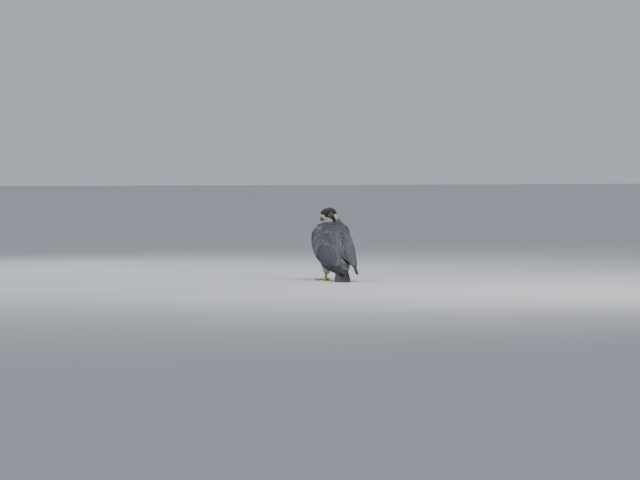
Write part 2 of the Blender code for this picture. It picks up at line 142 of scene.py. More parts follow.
# %% Sockets as numbers
VALUE_SUMS = {"+": "ADD", "-": "SUBTRACT", "*": "MULTIPLY", "/": "DIVIDE"}
COLOUR_SUMS = {"+": "ADD", "-": "SUBTRACT", "*": "MULTIPLY", "/": "DIVIDE"}


class Wire:
    """One output socket of a material, which can be added, multiplied and so on."""

    def __init__(self, finish, socket):
        self.finish, self.socket = finish, socket

    def sum_with(self, other, sign, swapped=False):
        a, b = (other, self) if swapped else (self, other)
        kinds = {x.socket.type for x in (a, b) if isinstance(x, Wire)}
        if "RGBA" in kinds:
            a, b = (x if isinstance(x, Wire) or np.ndim(x) else (x, x, x) for x in (a, b))
            return self.finish.blend(1.0, a, b, COLOUR_SUMS[sign])
        if "VECTOR" in kinds:
            a, b = (x if isinstance(x, Wire) or np.ndim(x) else (x, x, x) for x in (a, b))
            return self.finish.node("ShaderNodeVectorMath", {"operation": VALUE_SUMS[sign]}, {0: a, 1: b})
        return self.finish.node("ShaderNodeMath", {"operation": VALUE_SUMS[sign]}, {0: a, 1: b})

    def __add__(self, other):
        return self.sum_with(other, "+")

    def __radd__(self, other):
        return self.sum_with(other, "+", True)

    def __sub__(self, other):
        return self.sum_with(other, "-")

    def __rsub__(self, other):
        return self.sum_with(other, "-", True)

    def __mul__(self, other):
        return self.sum_with(other, "*")

    def __rmul__(self, other):
        return self.sum_with(other, "*", True)

    def __truediv__(self, other):
        return self.sum_with(other, "/")

    def __abs__(self):
        return self.finish.node("ShaderNodeMath", {"operation": "ABSOLUTE"}, {0: self})

    def wave(self):
        """A sine, brought between 0 and 1."""
        return self.finish.node("ShaderNodeMath", {"operation": "SINE"}, {0: self}) * 0.5 + 0.5

    def over(self, low, high):
        """0 below low, 1 above high and smooth between. With low above high it falls instead."""
        start, end, first, last = (low, high, 0.0, 1.0) if low < high else (high, low, 1.0, 0.0)
        settings = {"interpolation_type": "SMOOTHSTEP", "clamp": True}
        values = {"Value": self, "From Min": start, "From Max": end, "To Min": first, "To Max": last}
        return self.finish.node("ShaderNodeMapRange", settings, values)

    def part(self, name):
        """Another output of the same node."""
        return Wire(self.finish, self.socket.node.outputs[name])


class Finish:
    """A material in the making: its node tree and its main shader."""

    def __init__(self, name):
        self.material = bpy.data.materials.new(name)
        self.material.use_nodes = True
        self.tree = self.material.node_tree
        self.shader = self.tree.nodes["Principled BSDF"]

    def feed(self, socket, value):
        if isinstance(value, Wire):
            self.tree.links.new(value.socket, socket)
        elif socket.type == "RGBA" and len(value) == 3:
            socket.default_value = (*value, 1.0)
        else:
            socket.default_value = value

    def node(self, kind, settings=None, values=None, output=0):
        """Adds a node: its settings first, then numbers or links for its sockets. Gives back one output."""
        made = self.tree.nodes.new(kind)
        for name, value in (settings or {}).items():
            if name == "stops":
                for k, (place, colour) in enumerate(value):
                    stop = made.color_ramp.elements[k] if k < 2 else made.color_ramp.elements.new(place)
                    stop.position, stop.color = place, (*colour, 1.0)
            else:
                setattr(made, name, value)
        for name, value in (values or {}).items():
            self.feed(made.inputs[name], value)
        return Wire(self, made.outputs[output])

    def blend(self, factor, a, b, way="MIX"):
        """From colour a to colour b as the factor goes from 0 to 1."""
        made = self.tree.nodes.new("ShaderNodeMix")
        made.data_type, made.blend_type, made.clamp_factor = "RGBA", way, True
        self.feed(made.inputs["Factor"], factor)
        self.feed(next(s for s in made.inputs if s.identifier == "A_Color"), a)
        self.feed(next(s for s in made.inputs if s.identifier == "B_Color"), b)
        return Wire(self, next(s for s in made.outputs if s.identifier == "Result_Color"))

    def noise(self, scale, place=None, detail=3.0, roughness=0.55):
        values = {"Scale": scale, "Detail": detail, "Roughness": roughness}
        if place is not None:
            values["Vector"] = place
        return self.node("ShaderNodeTexNoise", {"normalize": True}, values)

    def cells(self, scale, place=None, feature="F1", output="Distance"):
        values = {"Scale": scale}
        if place is not None:
            values["Vector"] = place
        return self.node("ShaderNodeTexVoronoi", {"feature": feature}, values, output)

    def place(self):
        return self.node("ShaderNodeTexCoord", output="Object")

    def stored(self, name):
        """Three numbers that the mesh keeps for each of its points."""
        return self.node("ShaderNodeAttribute", {"attribute_type": "GEOMETRY", "attribute_name": name}, output="Vector")

    def split(self, vector):
        first = self.node("ShaderNodeSeparateXYZ", values={0: vector})
        return first, first.part("Y"), first.part("Z")

    def join(self, x, y, z):
        return self.node("ShaderNodeCombineXYZ", values={0: x, 1: y, 2: z})

    def bump(self, height, strength, distance=0.001):
        return self.node("ShaderNodeBump", values={"Strength": strength, "Distance": distance, "Height": height})

    def done(self, **values):
        """Feeds the main shader. An underscore in a name stands for a space."""
        for name, value in values.items():
            self.feed(self.shader.inputs[name.replace("_", " ")], value)
        return self.material


print("ready to wire materials")

# %% [markdown]
# ## Floor and light
# A museum model is lit softly from several sides. One large lamp in front and above gives the form, a wide low one
# from the camera's right lifts the far wing as the sky did, and a pale room fills the shadows.

# %% Floor and light
stage_finish = Finish("pale_floor")
floor_grain = stage_finish.noise(6.0, stage_finish.place(), 2.0)
stage_finish.done(
    Base_Color=stage_finish.blend(floor_grain, (0.60, 0.60, 0.61), (0.64, 0.64, 0.65)), Roughness=0.9
)
bpy.ops.mesh.primitive_plane_add(size=60, location=(0, 0, 0))
floor = bpy.context.object
floor.name = "floor"
floor.data.materials.append(stage_finish.material)

room = bpy.data.worlds.new("room")
room.use_nodes = True
room.node_tree.nodes["Background"].inputs["Color"].default_value = (0.86, 0.90, 1.0, 1.0)
room.node_tree.nodes["Background"].inputs["Strength"].default_value = 0.55
bpy.context.scene.world = room


def soft_lamp(name, azimuth, height, metres, size, watts, colour=(1, 1, 1)):
    """A square lamp that looks at the bird from an azimuth and a height given in degrees."""
    data = bpy.data.lights.new(name, "AREA")
    data.shape, data.size, data.energy, data.color = "SQUARE", size, watts, colour
    lamp = bpy.data.objects.new(name, data)
    bpy.context.scene.collection.objects.link(lamp)
    turn, lift = radians(azimuth), radians(height)
    away = Vector((sin(turn) * cos(lift), -cos(turn) * cos(lift), sin(lift)))
    lamp.location = Vector((0, 0, 0.12)) + away * metres
    lamp.rotation_mode = "QUATERNION"
    lamp.rotation_quaternion = away.to_track_quat("Z", "Y")
    return lamp


soft_lamp("lamp_key", 205, 48, 2.4, 1.5, 42, (1.0, 0.985, 0.96))
soft_lamp("lamp_front", 20, 40, 2.6, 1.8, 26, (0.95, 0.97, 1.0))
soft_lamp("lamp_side", 88, 18, 2.6, 1.2, 9, (0.93, 0.96, 1.0))

# %% [markdown]
# ## Reading a surface at many points
# Every feather has to know where the body's surface is beneath it and which way it faces. A tree of the surface's
# triangles answers that quickly. The answer's normal is blended from the corners of the triangle, because the flat
# normals of the triangles would make neighbouring feathers jump.

# %% Surfaces
class Surface:
    """A mesh that tells the nearest place on it, and the smooth normal there, for many points at once."""

    def __init__(self, mesh):
        mesh.calc_loop_triangles()
        self.points = np.empty((len(mesh.vertices), 3))
        mesh.vertices.foreach_get("co", self.points.ravel())
        self.normals = np.empty((len(mesh.vertices), 3))
        mesh.vertices.foreach_get("normal", self.normals.ravel())
        self.triangles = np.empty((len(mesh.loop_triangles), 3), int)
        mesh.loop_triangles.foreach_get("vertices", self.triangles.ravel())
        self.tree = BVHTree.FromPolygons(self.points.tolist(), self.triangles.tolist())

    def nearest(self, places):
        hits = [self.tree.find_nearest(p) for p in np.asarray(places).tolist()]
        found = np.array([tuple(h[0]) for h in hits])
        a, b, c = (self.points[self.triangles[[h[2] for h in hits], k]] for k in range(3))
        full = np.cross(b - a, c - a)
        size = np.maximum((full**2).sum(1), 1e-24)
        wb = (np.cross(found - a, c - a) * full).sum(1) / size
        wc = (np.cross(b - a, found - a) * full).sum(1) / size
        weights = np.clip(np.stack([1 - wb - wc, wb, wc], 1), 0, 1)
        corners = self.normals[self.triangles[[h[2] for h in hits]]]
        return found, unit((corners * weights[:, :, None]).sum(1))

    def distance(self, places):
        return np.array([self.tree.find_nearest(p)[3] for p in np.asarray(places).tolist()])


def unit(vectors):
    return vectors / np.maximum(np.linalg.norm(vectors, axis=-1, keepdims=True), 1e-12)


def ease(value, low, high):
    """0 at low, 1 at high and smooth between, also when low is above high."""
    t = np.clip((value - low) / (high - low), 0, 1)
    return t * t * (3 - 2 * t)


def new_piece(name, mesh, *finishes):
    """Puts a mesh into the scene as a smooth piece that rides with the bird."""
    obj = bpy.data.objects.new(name, mesh)
    bpy.context.scene.collection.objects.link(obj)
    for finish in finishes:
        mesh.materials.append(finish)
    mesh.shade_smooth()
    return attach(obj, "root")


def mesh_from(name, points, faces):
    mesh = bpy.data.meshes.new(name)
    mesh.from_pydata([tuple(p) for p in np.asarray(points).tolist()], [], faces)
    return mesh


def welded_copy(node, swell):
    """A copy of a solid with its double points joined and its faces moved outwards a little."""
    work = bmesh.new()
    work.from_mesh(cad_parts[node].data)
    bmesh.ops.remove_doubles(work, verts=work.verts, dist=1e-6)
    bmesh.ops.recalc_face_normals(work, faces=work.faces)
    work.normal_update()
    places = [v.co + v.normal * swell for v in work.verts]
    for vert, place in zip(work.verts, places):
        vert.co = place
    mesh = bpy.data.meshes.new(node + "_copy")
    work.to_mesh(mesh)
    work.free()
    return mesh


def fused(name, nodes, voxel, rounds, swell):
    """Solids melted into one closed body and smoothed."""
    work = bmesh.new()
    for node in nodes:
        copy = welded_copy(node, swell)
        work.from_mesh(copy)
        bpy.data.meshes.remove(copy)
    mesh = bpy.data.meshes.new(name)
    work.to_mesh(mesh)
    work.free()
    obj = bpy.data.objects.new(name, mesh)
    bpy.context.scene.collection.objects.link(obj)
    melt = obj.modifiers.new("melt", "REMESH")
    melt.mode, melt.voxel_size = "VOXEL", voxel
    calm = obj.modifiers.new("calm", "SMOOTH")
    calm.factor, calm.iterations = 0.5, rounds
    graph = bpy.context.evaluated_depsgraph_get()
    result = bpy.data.meshes.new_from_object(obj.evaluated_get(graph))
    bpy.data.objects.remove(obj)
    return result


def refined(mesh, chosen):
    """Halves the edges between the chosen points, so that finer forms can be modelled there."""
    work = bmesh.new()
    work.from_mesh(mesh)
    work.verts.ensure_lookup_table()
    edges = [e for e in work.edges if chosen[e.verts[0].index] and chosen[e.verts[1].index]]
    bmesh.ops.subdivide_edges(work, edges=edges, cuts=1, use_grid_fill=True)
    bmesh.ops.triangulate(work, faces=[f for f in work.faces if len(f.verts) > 4])
    work.to_mesh(mesh)
    work.free()


def calmed(mesh, share, rounds):
    """Smooths a mesh only where the share, given for each point, is above zero. Creases fill up."""
    edges = np.empty((len(mesh.edges), 2), int)
    mesh.edges.foreach_get("vertices", edges.ravel())
    points = np.empty((len(mesh.vertices), 3))
    mesh.vertices.foreach_get("co", points.ravel())
    ends, others = np.concatenate([edges, edges[:, ::-1]]).T
    near = np.maximum(np.bincount(ends, minlength=len(points)), 1)
    for _ in range(rounds):
        middles = np.stack([np.bincount(ends, points[others, k], len(points)) / near for k in range(3)], 1)
        points += (middles - points) * (0.5 * share)[:, None]
    mesh.vertices.foreach_set("co", points.ravel())
    mesh.update()


flesh = {node: Surface(welded_copy(node, 0)) for node in FLESH}
print("flesh", sum(len(surface.points) for surface in flesh.values()), "points")

# %% [markdown]
# ## Shaping the face
# The melted outline is a smooth egg at the head. A falcon's eye lies a little sunk under a firm brow, which gives it
# its stern look. Both are pushed into the outline here, before anything is laid on it, so that skin and feathers
# follow them alike.

# %% Orbit and brow
GAZE = radians(20)


def by_eye(h):
    """Places in the head's frame as each eye sees them: out along its gaze, rearwards and up."""
    away = np.stack([abs(h[:, 0]), h[:, 1], h[:, 2]], 1) - EYE_CENTRE
    return away[:, 0] * cos(GAZE) - away[:, 1] * sin(GAZE), away[:, 0] * sin(GAZE) + away[:, 1] * cos(GAZE), away[:, 2]


def brow_line(y):
    """How high above the eye's middle the brow's edge runs. It falls towards the bill."""
    return 0.0053 + 0.22 * y - 22 * (y - 0.001) ** 2


def shape_face(points):
    h = in_head(points)
    out, y, z = by_eye(h)
    reach = np.hypot(y, z)
    near = (out > 0) & (np.linalg.norm(h, axis=1) < 0.036)
    ball = np.sqrt(EYE_RADIUS**2 - np.minimum(reach, 0.0068) ** 2) - 0.0006
    push = -np.clip(out - ball, 0, None) * (1 - ease(reach, 0.0062, 0.0100))
    ledge = brow_line(y)
    brow = ease(z, ledge - 0.0003, ledge + 0.0004) * (1 - ease(z, ledge + 0.0025, ledge + 0.0085))
    brow *= ease(y, -0.0135, -0.0080) * (1 - ease(y, 0.0020, 0.0110))
    wanted = np.sqrt(0.0080**2 - 0.55 * np.minimum(abs(y), 0.0105) ** 2)
    push = push * (1 - brow) + np.clip(wanted - out, 0, 0.0050) * brow
    push += 0.0008 * np.exp(-(((z + 0.0150) / 0.006) ** 2 + ((y - 0.012) / 0.008) ** 2))
    way = np.stack([np.sign(h[:, 0]) * cos(GAZE), np.full(len(h), -sin(GAZE)), np.zeros(len(h))], 1)
    return from_head(h + way * (push * near)[:, None])


TRUNK_SPINE = (
    (0.1040, 0.0420), (0.0880, 0.0510), (0.0620, 0.0660), (0.0340, 0.0880), (0.0060, 0.1150),
    (-0.0190, 0.1450), (-0.0370, 0.1700), (-0.0455, 0.1890), (-0.0455, 0.2035),
)


def through(stations, count):
    """Reads the stations' columns at even steps along a smooth curve that passes through every station."""
    rows = np.array(stations, float)
    padded = np.vstack([2 * rows[0] - rows[1], rows, 2 * rows[-1] - rows[-2]])
    steps = np.linspace(0, len(rows) - 1, count)
    first = np.minimum(steps.astype(int), len(rows) - 2)
    t = (steps - first)[:, None]
    before, start, end, after = (padded[first + k] for k in range(4))
    slope_in, slope_out = (end - before) / 2, (after - start) / 2
    curve = (2 * t**3 - 3 * t**2 + 1) * start + (t**3 - 2 * t**2 + t) * slope_in
    return curve + (3 * t**2 - 2 * t**3) * end + (t**3 - t**2) * slope_out


spine = through(TRUNK_SPINE, 90)
spine_run = unit(np.gradient(spine, axis=0))


def on_spine(places):
    """For each place: the spine's direction towards the tail there, and how far the place is on the back's side."""
    body = places - SHIFT
    away = body[:, None, 1:] - spine[None]
    at = (away**2).sum(2).argmin(1)
    run = spine_run[at]
    to_back = np.stack([run[:, 1], -run[:, 0]], 1)
    back = (away[np.arange(len(at)), at] * to_back).sum(1)
    return np.stack([np.zeros(len(at)), -run[:, 0], -run[:, 1]], 1), back


OUTLINE = fused("outline", FLESH + ["eye_l", "eye_r", "cere", "bill_lower"], 0.0017, 8, 0.0005)
places = Surface(OUTLINE).points
near_neck, near_trunk = (1 - ease(flesh[node].distance(places), 0.008, 0.020) for node in ("neck", "trunk"))
calmed(OUTLINE, near_neck * near_trunk * ease(np.linalg.norm(places - HEAD, axis=1), 0.030, 0.040), 150)
off = {node: flesh[node].distance(places) for node in ("trunk", "wing_l", "wing_r")}
groove = 1 - ease(np.maximum(off["trunk"], np.minimum(off["wing_l"], off["wing_r"])), 0.004, 0.012)
_, toward_back = on_spine(places)
calmed(OUTLINE, groove * ease(toward_back, 0.004, 0.014) * (1 - ease(places[:, 1] - SHIFT[1], 0.045, 0.065)), 110)
for near in (0.015, 0.012):
    out, y, z = by_eye(in_head(Surface(OUTLINE).points))
    refined(OUTLINE, (np.hypot(y, z) < near) & (out > 0) & (out < 0.012))
OUTLINE.vertices.foreach_set("co", shape_face(Surface(OUTLINE).points).ravel())
OUTLINE.update()


def unwrapped(mesh):
    """Spreads a mesh flat in islands, and gives the map's place of each corner of each triangle."""
    obj = bpy.data.objects.new("to_unwrap", mesh)
    bpy.context.scene.collection.objects.link(obj)
    bpy.context.view_layer.objects.active = obj
    bpy.ops.object.mode_set(mode="EDIT")
    bpy.ops.mesh.select_all(action="SELECT")
    bpy.ops.uv.smart_project(angle_limit=radians(66), island_margin=0.004)
    bpy.ops.object.mode_set(mode="OBJECT")
    bpy.data.objects.remove(obj)
    flat = np.empty((len(mesh.loops), 2))
    mesh.uv_layers[0].data.foreach_get("uv", flat.ravel())
    mesh.calc_loop_triangles()
    corners = np.empty((len(mesh.loop_triangles), 3), int)
    mesh.loop_triangles.foreach_get("loops", corners.ravel())
    return flat[corners]


outline_map = unwrapped(OUTLINE)
outline = Surface(OUTLINE)
print("outline", len(outline.points), "points,", len(outline.triangles), "triangles")

# %% [markdown]
# ## The lie of the feathers
# Feathers point away from the bill and towards the tail, like tiles on a roof. On the body they follow the spine. On
# the head they stream back from the bill and part round the eye, as water parts round a stone, so the formula for that
# flow is used. Between the two the directions are blended.

# %% Directions
def head_share(places):
    return 1 - ease(np.linalg.norm(places - HEAD, axis=1), 0.027, 0.039)


def lie(places):
    """The way the feathers point at each place, not yet laid on the surface."""
    h = in_head(places)
    stream = np.stack([np.zeros(len(h)), np.ones(len(h)), -0.25 - 0.6 * ease(h[:, 1], 0.0, 0.024)], 1)
    out, y, z = by_eye(h)
    reach = np.maximum(np.hypot(y, z), 1e-5)
    ry, rz = y / reach, z / reach
    along = stream[:, 1] * ry + stream[:, 2] * rz
    part = np.clip(0.0082 / reach, 0, 1) ** 2 * (out > 0)
    stream[:, 1] -= part * (2 * along * ry - stream[:, 1])
    stream[:, 2] -= part * (2 * along * rz - stream[:, 2])
    body, _ = on_spine(places)
    thigh = (1 - ease(places[:, 2], 0.060, 0.085)) * (places[:, 1] - SHIFT[1] < 0.040)
    body = unit(body * (1 - thigh[:, None]) + np.array((0, 0.10, -1)) * thigh[:, None])
    share = head_share(places)[:, None]
    return unit(unit(stream) @ HEAD_AXES.T * share + body * (1 - share))


print("lie at the crown", lie(from_head([[0, 0, 0.022]])).round(2))

# %% [markdown]
# ## Where the colours lie
# An adult has a blackish hood with a broad moustache below the eye, a white cheek behind it and a white throat. Its
# upper side is slate, its under side creamy, with a few drops on the breast and bars from the belly down. Each feather
# takes one set of numbers from where it is rooted, and the skin takes the same from the same formulas, so the two
# agree. The fine pattern inside a feather is left to the material.

# %% Markings
NECK_TWIST = radians(112)


def markings(places):
    """Four numbers per place: hood, slate, bars and drops."""
    h = in_head(places)
    out, y, z = abs(h[:, 0]), h[:, 1], h[:, 2]
    brim = np.interp(y, (-0.028, -0.019, -0.010, -0.002, 0.006, 0.014, 0.020, 0.027),
                     (-0.0005, -0.0030, -0.0036, -0.0006, 0.0012, -0.0030, -0.0130, -0.0240))
    cap = ease(z - brim, -0.0010, 0.0008)
    stripe = -0.0112 + (-0.003 - z) * 0.34
    wide = np.interp(z, (-0.0250, -0.0230, -0.016, -0.004), (0.0, 0.0036, 0.0066, 0.0080))
    moustache = ease(wide - abs(y - stripe), -0.0007, 0.0007) * (out > 0.0085) * (z < 0)
    from_middle = np.linalg.norm(places - HEAD, axis=1)
    share = 1 - ease(from_middle, 0.0300, 0.0350)
    head = np.maximum(cap * share, moustache * (1 - ease(from_middle, 0.0370, 0.0430)))
    body = places - SHIFT
    _, back = on_spine(places)
    turn = NECK_TWIST * ease(body[:, 2], 0.196, 0.226)
    round_neck = abs((np.arctan2(body[:, 0], -(body[:, 1] + 0.042)) - turn + pi) % (2 * pi) - pi)
    neck = ease(body[:, 2], 0.180, 0.200)
    upper = ease(round_neck, radians(76), radians(92)) * neck + ease(back, -0.004, 0.010) * (1 - neck)
    under_tail = ease(body[:, 1], 0.050, 0.075) * (back < 0.004)
    upper = upper * (1 - under_tail)
    hood = head * (1 - ease(y, 0.008, 0.022) * ease(-z, 0.004, 0.016))
    slate = np.minimum(upper * (1 - share) + head, 1)
    bars = ease(body[:, 2], 0.172, 0.140) * (1 - slate * 0.2)
    drops = ease(body[:, 2], 0.205, 0.180) * (1 - bars)
    return np.stack([hood, slate, bars, drops], 1)


sample = markings(outline.points)
print("share of the outline that is slate", round(float((sample[:, 1] > 0.5).mean()), 2))

# %% [markdown]
# ## Plumage
# Up close, a contour feather has a thin dark shaft and fine barbs that sweep forward from it. Those are drawn from two
# sets of numbers that every feather's mesh carries: how far across and along it a point is, and the same in
# millimetres, so that barbs are equally fine on small and large feathers. The barbs also raise a slight bump, which
# breaks up the shine. One material serves skin and feathers, so no seam can show where a gap opens.

# %% Plumage material
SLATE, SLATE_DARK = (0.132, 0.137, 0.158), (0.066, 0.069, 0.082)
HOOD, FRINGE, BAR = (0.015, 0.015, 0.018), (0.215, 0.22, 0.238), (0.060, 0.056, 0.055)


def plumage(name, quill=False):
    f = Finish(name)
    across, along, tone = f.split(f.stored("vane"))
    mm_across, mm_along, fluff = f.split(f.stored("barb"))
    hood, slate, bars = f.split(f.stored("marks"))
    drops = f.split(f.stored("more_marks"))[0]
    side = abs(across)
    wobble = f.noise(900.0, f.place(), 2.0)
    cloud = f.noise(38.0, f.place(), 2.0)
    barb = (mm_along * 19.0 - abs(mm_across) * 17.0 + wobble * 5.0).wave()
    clump = (mm_along * 3.4 - abs(mm_across) * 3.8 + wobble * 9.0).wave()
    shaft = side.over(0.07, 0.02) * along.over(0.98, 0.80)
    rim = (side + wobble * 0.12).over(0.88, 1.0) + (along + wobble * 0.05).over(0.90, 0.99)
    band = ((along * 15.5 + wobble * 1.6 + tone * 5.0 + cloud * 2.0).wave()).over(0.45, 0.95)
    last_bar = (abs(along + side * 0.10 - 0.83 + wobble * 0.05 - 0.025)).over(0.050, 0.026)
    mid_bar = (abs(along + side * 0.10 - 0.62 + wobble * 0.05 - 0.025)).over(0.045, 0.022)
    drop = (abs(along - 0.80) * 2.2 + side + wobble * 0.2).over(0.40, 0.28) * tone.over(0.60, 0.66)
    under = f.blend(wobble * 0.5 + cloud * 0.5, (0.62, 0.57, 0.49), (0.77, 0.735, 0.67))
    marked = (last_bar + mid_bar) * bars * 0.85 + drop * drops * 0.75 + shaft * 0.08
    under = f.blend(marked, under, BAR)
    upper = f.blend(band * 0.42 + shaft * 0.40 + cloud * 0.15, SLATE, SLATE_DARK)
    upper = f.blend(rim * (1 - hood) * 0.30, upper, FRINGE)
    upper = f.blend(hood * 0.97, upper, HOOD)
    colour = f.blend(slate, under, upper)
    colour = colour * (0.86 + tone * 0.24) * (0.92 + barb * 0.06 + clump * 0.08)
    rough = 0.64 + barb * 0.10 - hood * 0.08
    bump = f.bump(barb * 0.25 + clump * 0.5 + side.over(0.08, 0.0) * 0.6, 0.30, 0.0002)
    f.done(Base_Color=colour, Roughness=rough, Normal=bump, Specular_IOR_Level=0.35, Sheen_Weight=0.18, Sheen_Roughness=0.5)
    return f.material


feather_finish = plumage("plumage")
print("plumage material has", len(feather_finish.node_tree.nodes), "nodes")

# %% [markdown]
# ## Skin
# The skin is the outline drawn in by the depth of the coat: about a millimetre on the face, three on the body. Where a
# wing is thin it is drawn in by no more than a third of the thickness there, or its two faces would pass through each
# other. It carries the same marks as the coat, so a gap between feathers shows the right colour.

# %% Skin under the feathers
def keep_numbers(mesh, name, values):
    """Stores three numbers for each point of a mesh."""
    full = np.zeros((len(mesh.vertices), 3), np.float32)
    values = np.asarray(values).reshape(len(full), -1)
    full[:, : values.shape[1]] = values[:, :3]
    kept = mesh.attributes.new(name, "FLOAT_VECTOR", "POINT")
    kept.data.foreach_set("vector", full.ravel())


def distances(points):
    """How far each point is from the nearest wing and thigh, and from the rest of the body."""
    left = points[:, 0] > 0
    wing, thigh = np.empty(len(points)), np.empty(len(points))
    for side, mask in (("l", left), ("r", ~left)):
        wing[mask] = flesh["wing_" + side].distance(points[mask])
        thigh[mask] = flesh["thigh_" + side].distance(points[mask])
    rest = np.min([flesh[n].distance(points) for n in ("trunk", "neck", "head")], axis=0)
    return wing, thigh, rest


wing_off, thigh_off, rest_off = distances(outline.points)
ON_WING = (wing_off < rest_off) & (wing_off < thigh_off)
ON_THIGH = (thigh_off < rest_off) & ~ON_WING
from_head_middle = np.linalg.norm(outline.points - HEAD, axis=1)
COAT_DEPTH = 0.0010 + 0.0020 * ease(from_head_middle, 0.024, 0.070)
COAT_DEPTH[ON_THIGH] = 0.0014 + 0.0012 * ease(outline.points[ON_THIGH][:, 2], 0.030, 0.060)
COAT_DEPTH[ON_WING] = 0.0022


def thickness(surface):
    """How thick the body is under each point, looking straight in."""
    found = []
    for point, normal in zip(surface.points, surface.normals):
        hit = surface.tree.ray_cast(Vector(point - normal * 1e-4), Vector(-normal))
        found.append(hit[3] if hit[0] is not None else 0.05)
    return np.array(found)


BODY_THICKNESS = thickness(outline)
skin_depth = np.minimum(COAT_DEPTH, 0.34 * BODY_THICKNESS)
skin_mesh = OUTLINE.copy()
skin_mesh.name = "skin"
skin_mesh.vertices.foreach_set("co", (outline.points - outline.normals * skin_depth[:, None]).ravel())
skin_marks = markings(outline.points)
skin_marks[ON_WING] = (0.0, 1.0, 0.0, 0.0)
keep_numbers(skin_mesh, "marks", skin_marks[:, :3])
keep_numbers(skin_mesh, "more_marks", skin_marks[:, 3:])
keep_numbers(skin_mesh, "vane", np.tile((0.3, 0.3, 0.3), (len(outline.points), 1)))
keep_numbers(skin_mesh, "barb", outline.points * 1000)
skin_mesh.update()
print("skin drawn in by", (skin_depth.min() * 1000).round(2), "to", (skin_depth.max() * 1000).round(2), "mm")

# %% [markdown]
# ## One feather, many times
# A feather is a thin closed leaf: along its middle runs a ridge, its edges droop, and its tip is round. It could be
# copied by a scatter tool, but a copy can't bend to the body it lies on. So each one is drawn afresh: it walks over
# the surface from its root in small steps, always in the direction of the lie, and rises from the skin to the
# outline on its way. All feathers of a piece take each step together, which keeps this quick.

# %% Feather maker
ROUND_TIP = ((0.0, 0.34), (0.2, 0.80), (0.42, 1.0), (0.64, 0.97), (0.82, 0.76), (0.94, 0.42), (1.0, 0.0))
BROAD_TIP = ((0.0, 0.50), (0.3, 0.90), (0.6, 1.0), (0.82, 0.93), (0.91, 0.76), (0.96, 0.55), (1.0, 0.0))
QUILL_TIP = ((0.0, 0.45), (0.1, 0.75), (0.3, 0.95), (0.6, 1.0), (0.85, 0.88), (0.95, 0.60), (1.0, 0.0))


def leaf_rings(spines, normals, crosses, widths, thick, droop, columns, lean=0.0):
    """Rings of points round leaves: (leaves, rows, points of a ring, 3), and each ring point's place across.

    Lean moves the shaft off the middle, as on a wing quill."""
    reach = np.linspace(-1, 1, columns)
    top = [(a, 0.5 * (1 - a * a)) for a in reach]
    under = [(a, -0.5 * (1 - a * a)) for a in reach[-2:0:-1]]
    ring = np.array(top + under)
    leaning = ring[:, 0] + lean / 2 * (1 - ring[:, 0] ** 2)
    sideways = crosses[:, :, None] * (leaning * widths[:, :, None])[..., None]
    body = np.minimum(thick[:, None], widths)[:, :, None] * ring[:, 1]
    fall = droop * widths[:, :, None] * ring[:, 0] ** 2
    return spines[:, :, None] + sideways + normals[:, :, None] * (body - fall)[..., None], ring[:, 0]


def leaf_piece(name, rings, tips, across, fractions, lengths, widths, tones, marks, patches, finish):
    """One mesh of closed leaves with all the numbers the material reads.

    On the flat map each small feather is a patch at its root's place, and each long one a strip of its own."""
    count, rows, sides = rings.shape[:3]
    each = rows * sides + 1
    points = np.concatenate([rings.reshape(count, -1, 3), tips[:, None]], 1).reshape(-1, 3)
    k = np.arange(sides)
    quads = [np.stack([r * sides + k, r * sides + (k + 1) % sides, (r + 1) * sides + (k + 1) % sides, (r + 1) * sides + k], 1)
             for r in range(rows - 1)]
    quads = np.concatenate(quads)
    last = (rows - 1) * sides
    ends = np.stack([last + k, last + (k + 1) % sides, np.full(sides, each - 1)], 1)
    loops = np.concatenate([quads.ravel(), ends.ravel(), k[::-1]])
    totals = np.concatenate([np.full(len(quads), 4), np.full(len(ends), 3), [sides]])
    all_loops = (loops[None] + (np.arange(count) * each)[:, None]).ravel()
    all_totals = np.tile(totals, count)
    mesh = bpy.data.meshes.new(name)
    mesh.vertices.add(len(points))
    mesh.vertices.foreach_set("co", points.astype(np.float32).ravel())
    mesh.loops.add(len(all_loops))
    mesh.loops.foreach_set("vertex_index", all_loops.astype(np.int32))
    mesh.polygons.add(len(all_totals))
    mesh.polygons.foreach_set("loop_start", np.concatenate([[0], np.cumsum(all_totals)[:-1]]).astype(np.int32))
    mesh.update(calc_edges=True)
    along = np.concatenate([np.repeat(fractions, sides), [1.0]])
    side = np.concatenate([np.tile(across, rows), [0.0]])
    wide = np.concatenate([np.repeat(widths, sides, axis=1), np.zeros((count, 1))], 1)
    vane = np.stack(np.broadcast_arrays(side[None], along[None], tones[:, None]), 2)
    barb = np.stack(np.broadcast_arrays(side * wide * 1000, along * lengths[:, None] * 1000, tones[:, None]), 2)
    keep_numbers(mesh, "vane", vane.reshape(-1, 3))
    keep_numbers(mesh, "barb", barb.reshape(-1, 3))
    keep_numbers(mesh, "marks", np.repeat(marks[:, :3], each, axis=0))
    keep_numbers(mesh, "more_marks", np.repeat(marks[:, 3:], each, axis=0))
    if patches is None:
        strip = (np.arange(count)[:, None] + 0.5 + side[None] * 0.45) / count
        flat = np.stack([strip, np.broadcast_to(0.02 + along * 0.96, strip.shape)], 2)
    else:
        flat = patches[:, None] + np.stack([side * 0.0013, (along - 0.5) * 0.003], 1)[None]
    baked = mesh.uv_layers.new(name="OFBake")
    baked.data.foreach_set("uv", flat.reshape(-1, 2)[all_loops].astype(np.float32).ravel())
    piece = new_piece(name, mesh, finish)
    triangles = int((all_totals - 2).sum())
    print(name, count, "feathers", triangles, "triangles")
    return piece


def map_places(roots):
    """The roots' places on the flattened outline."""
    hits = [outline.tree.find_nearest(p) for p in roots.tolist()]
    index = [h[2] for h in hits]
    return outline_map[index].mean(1)


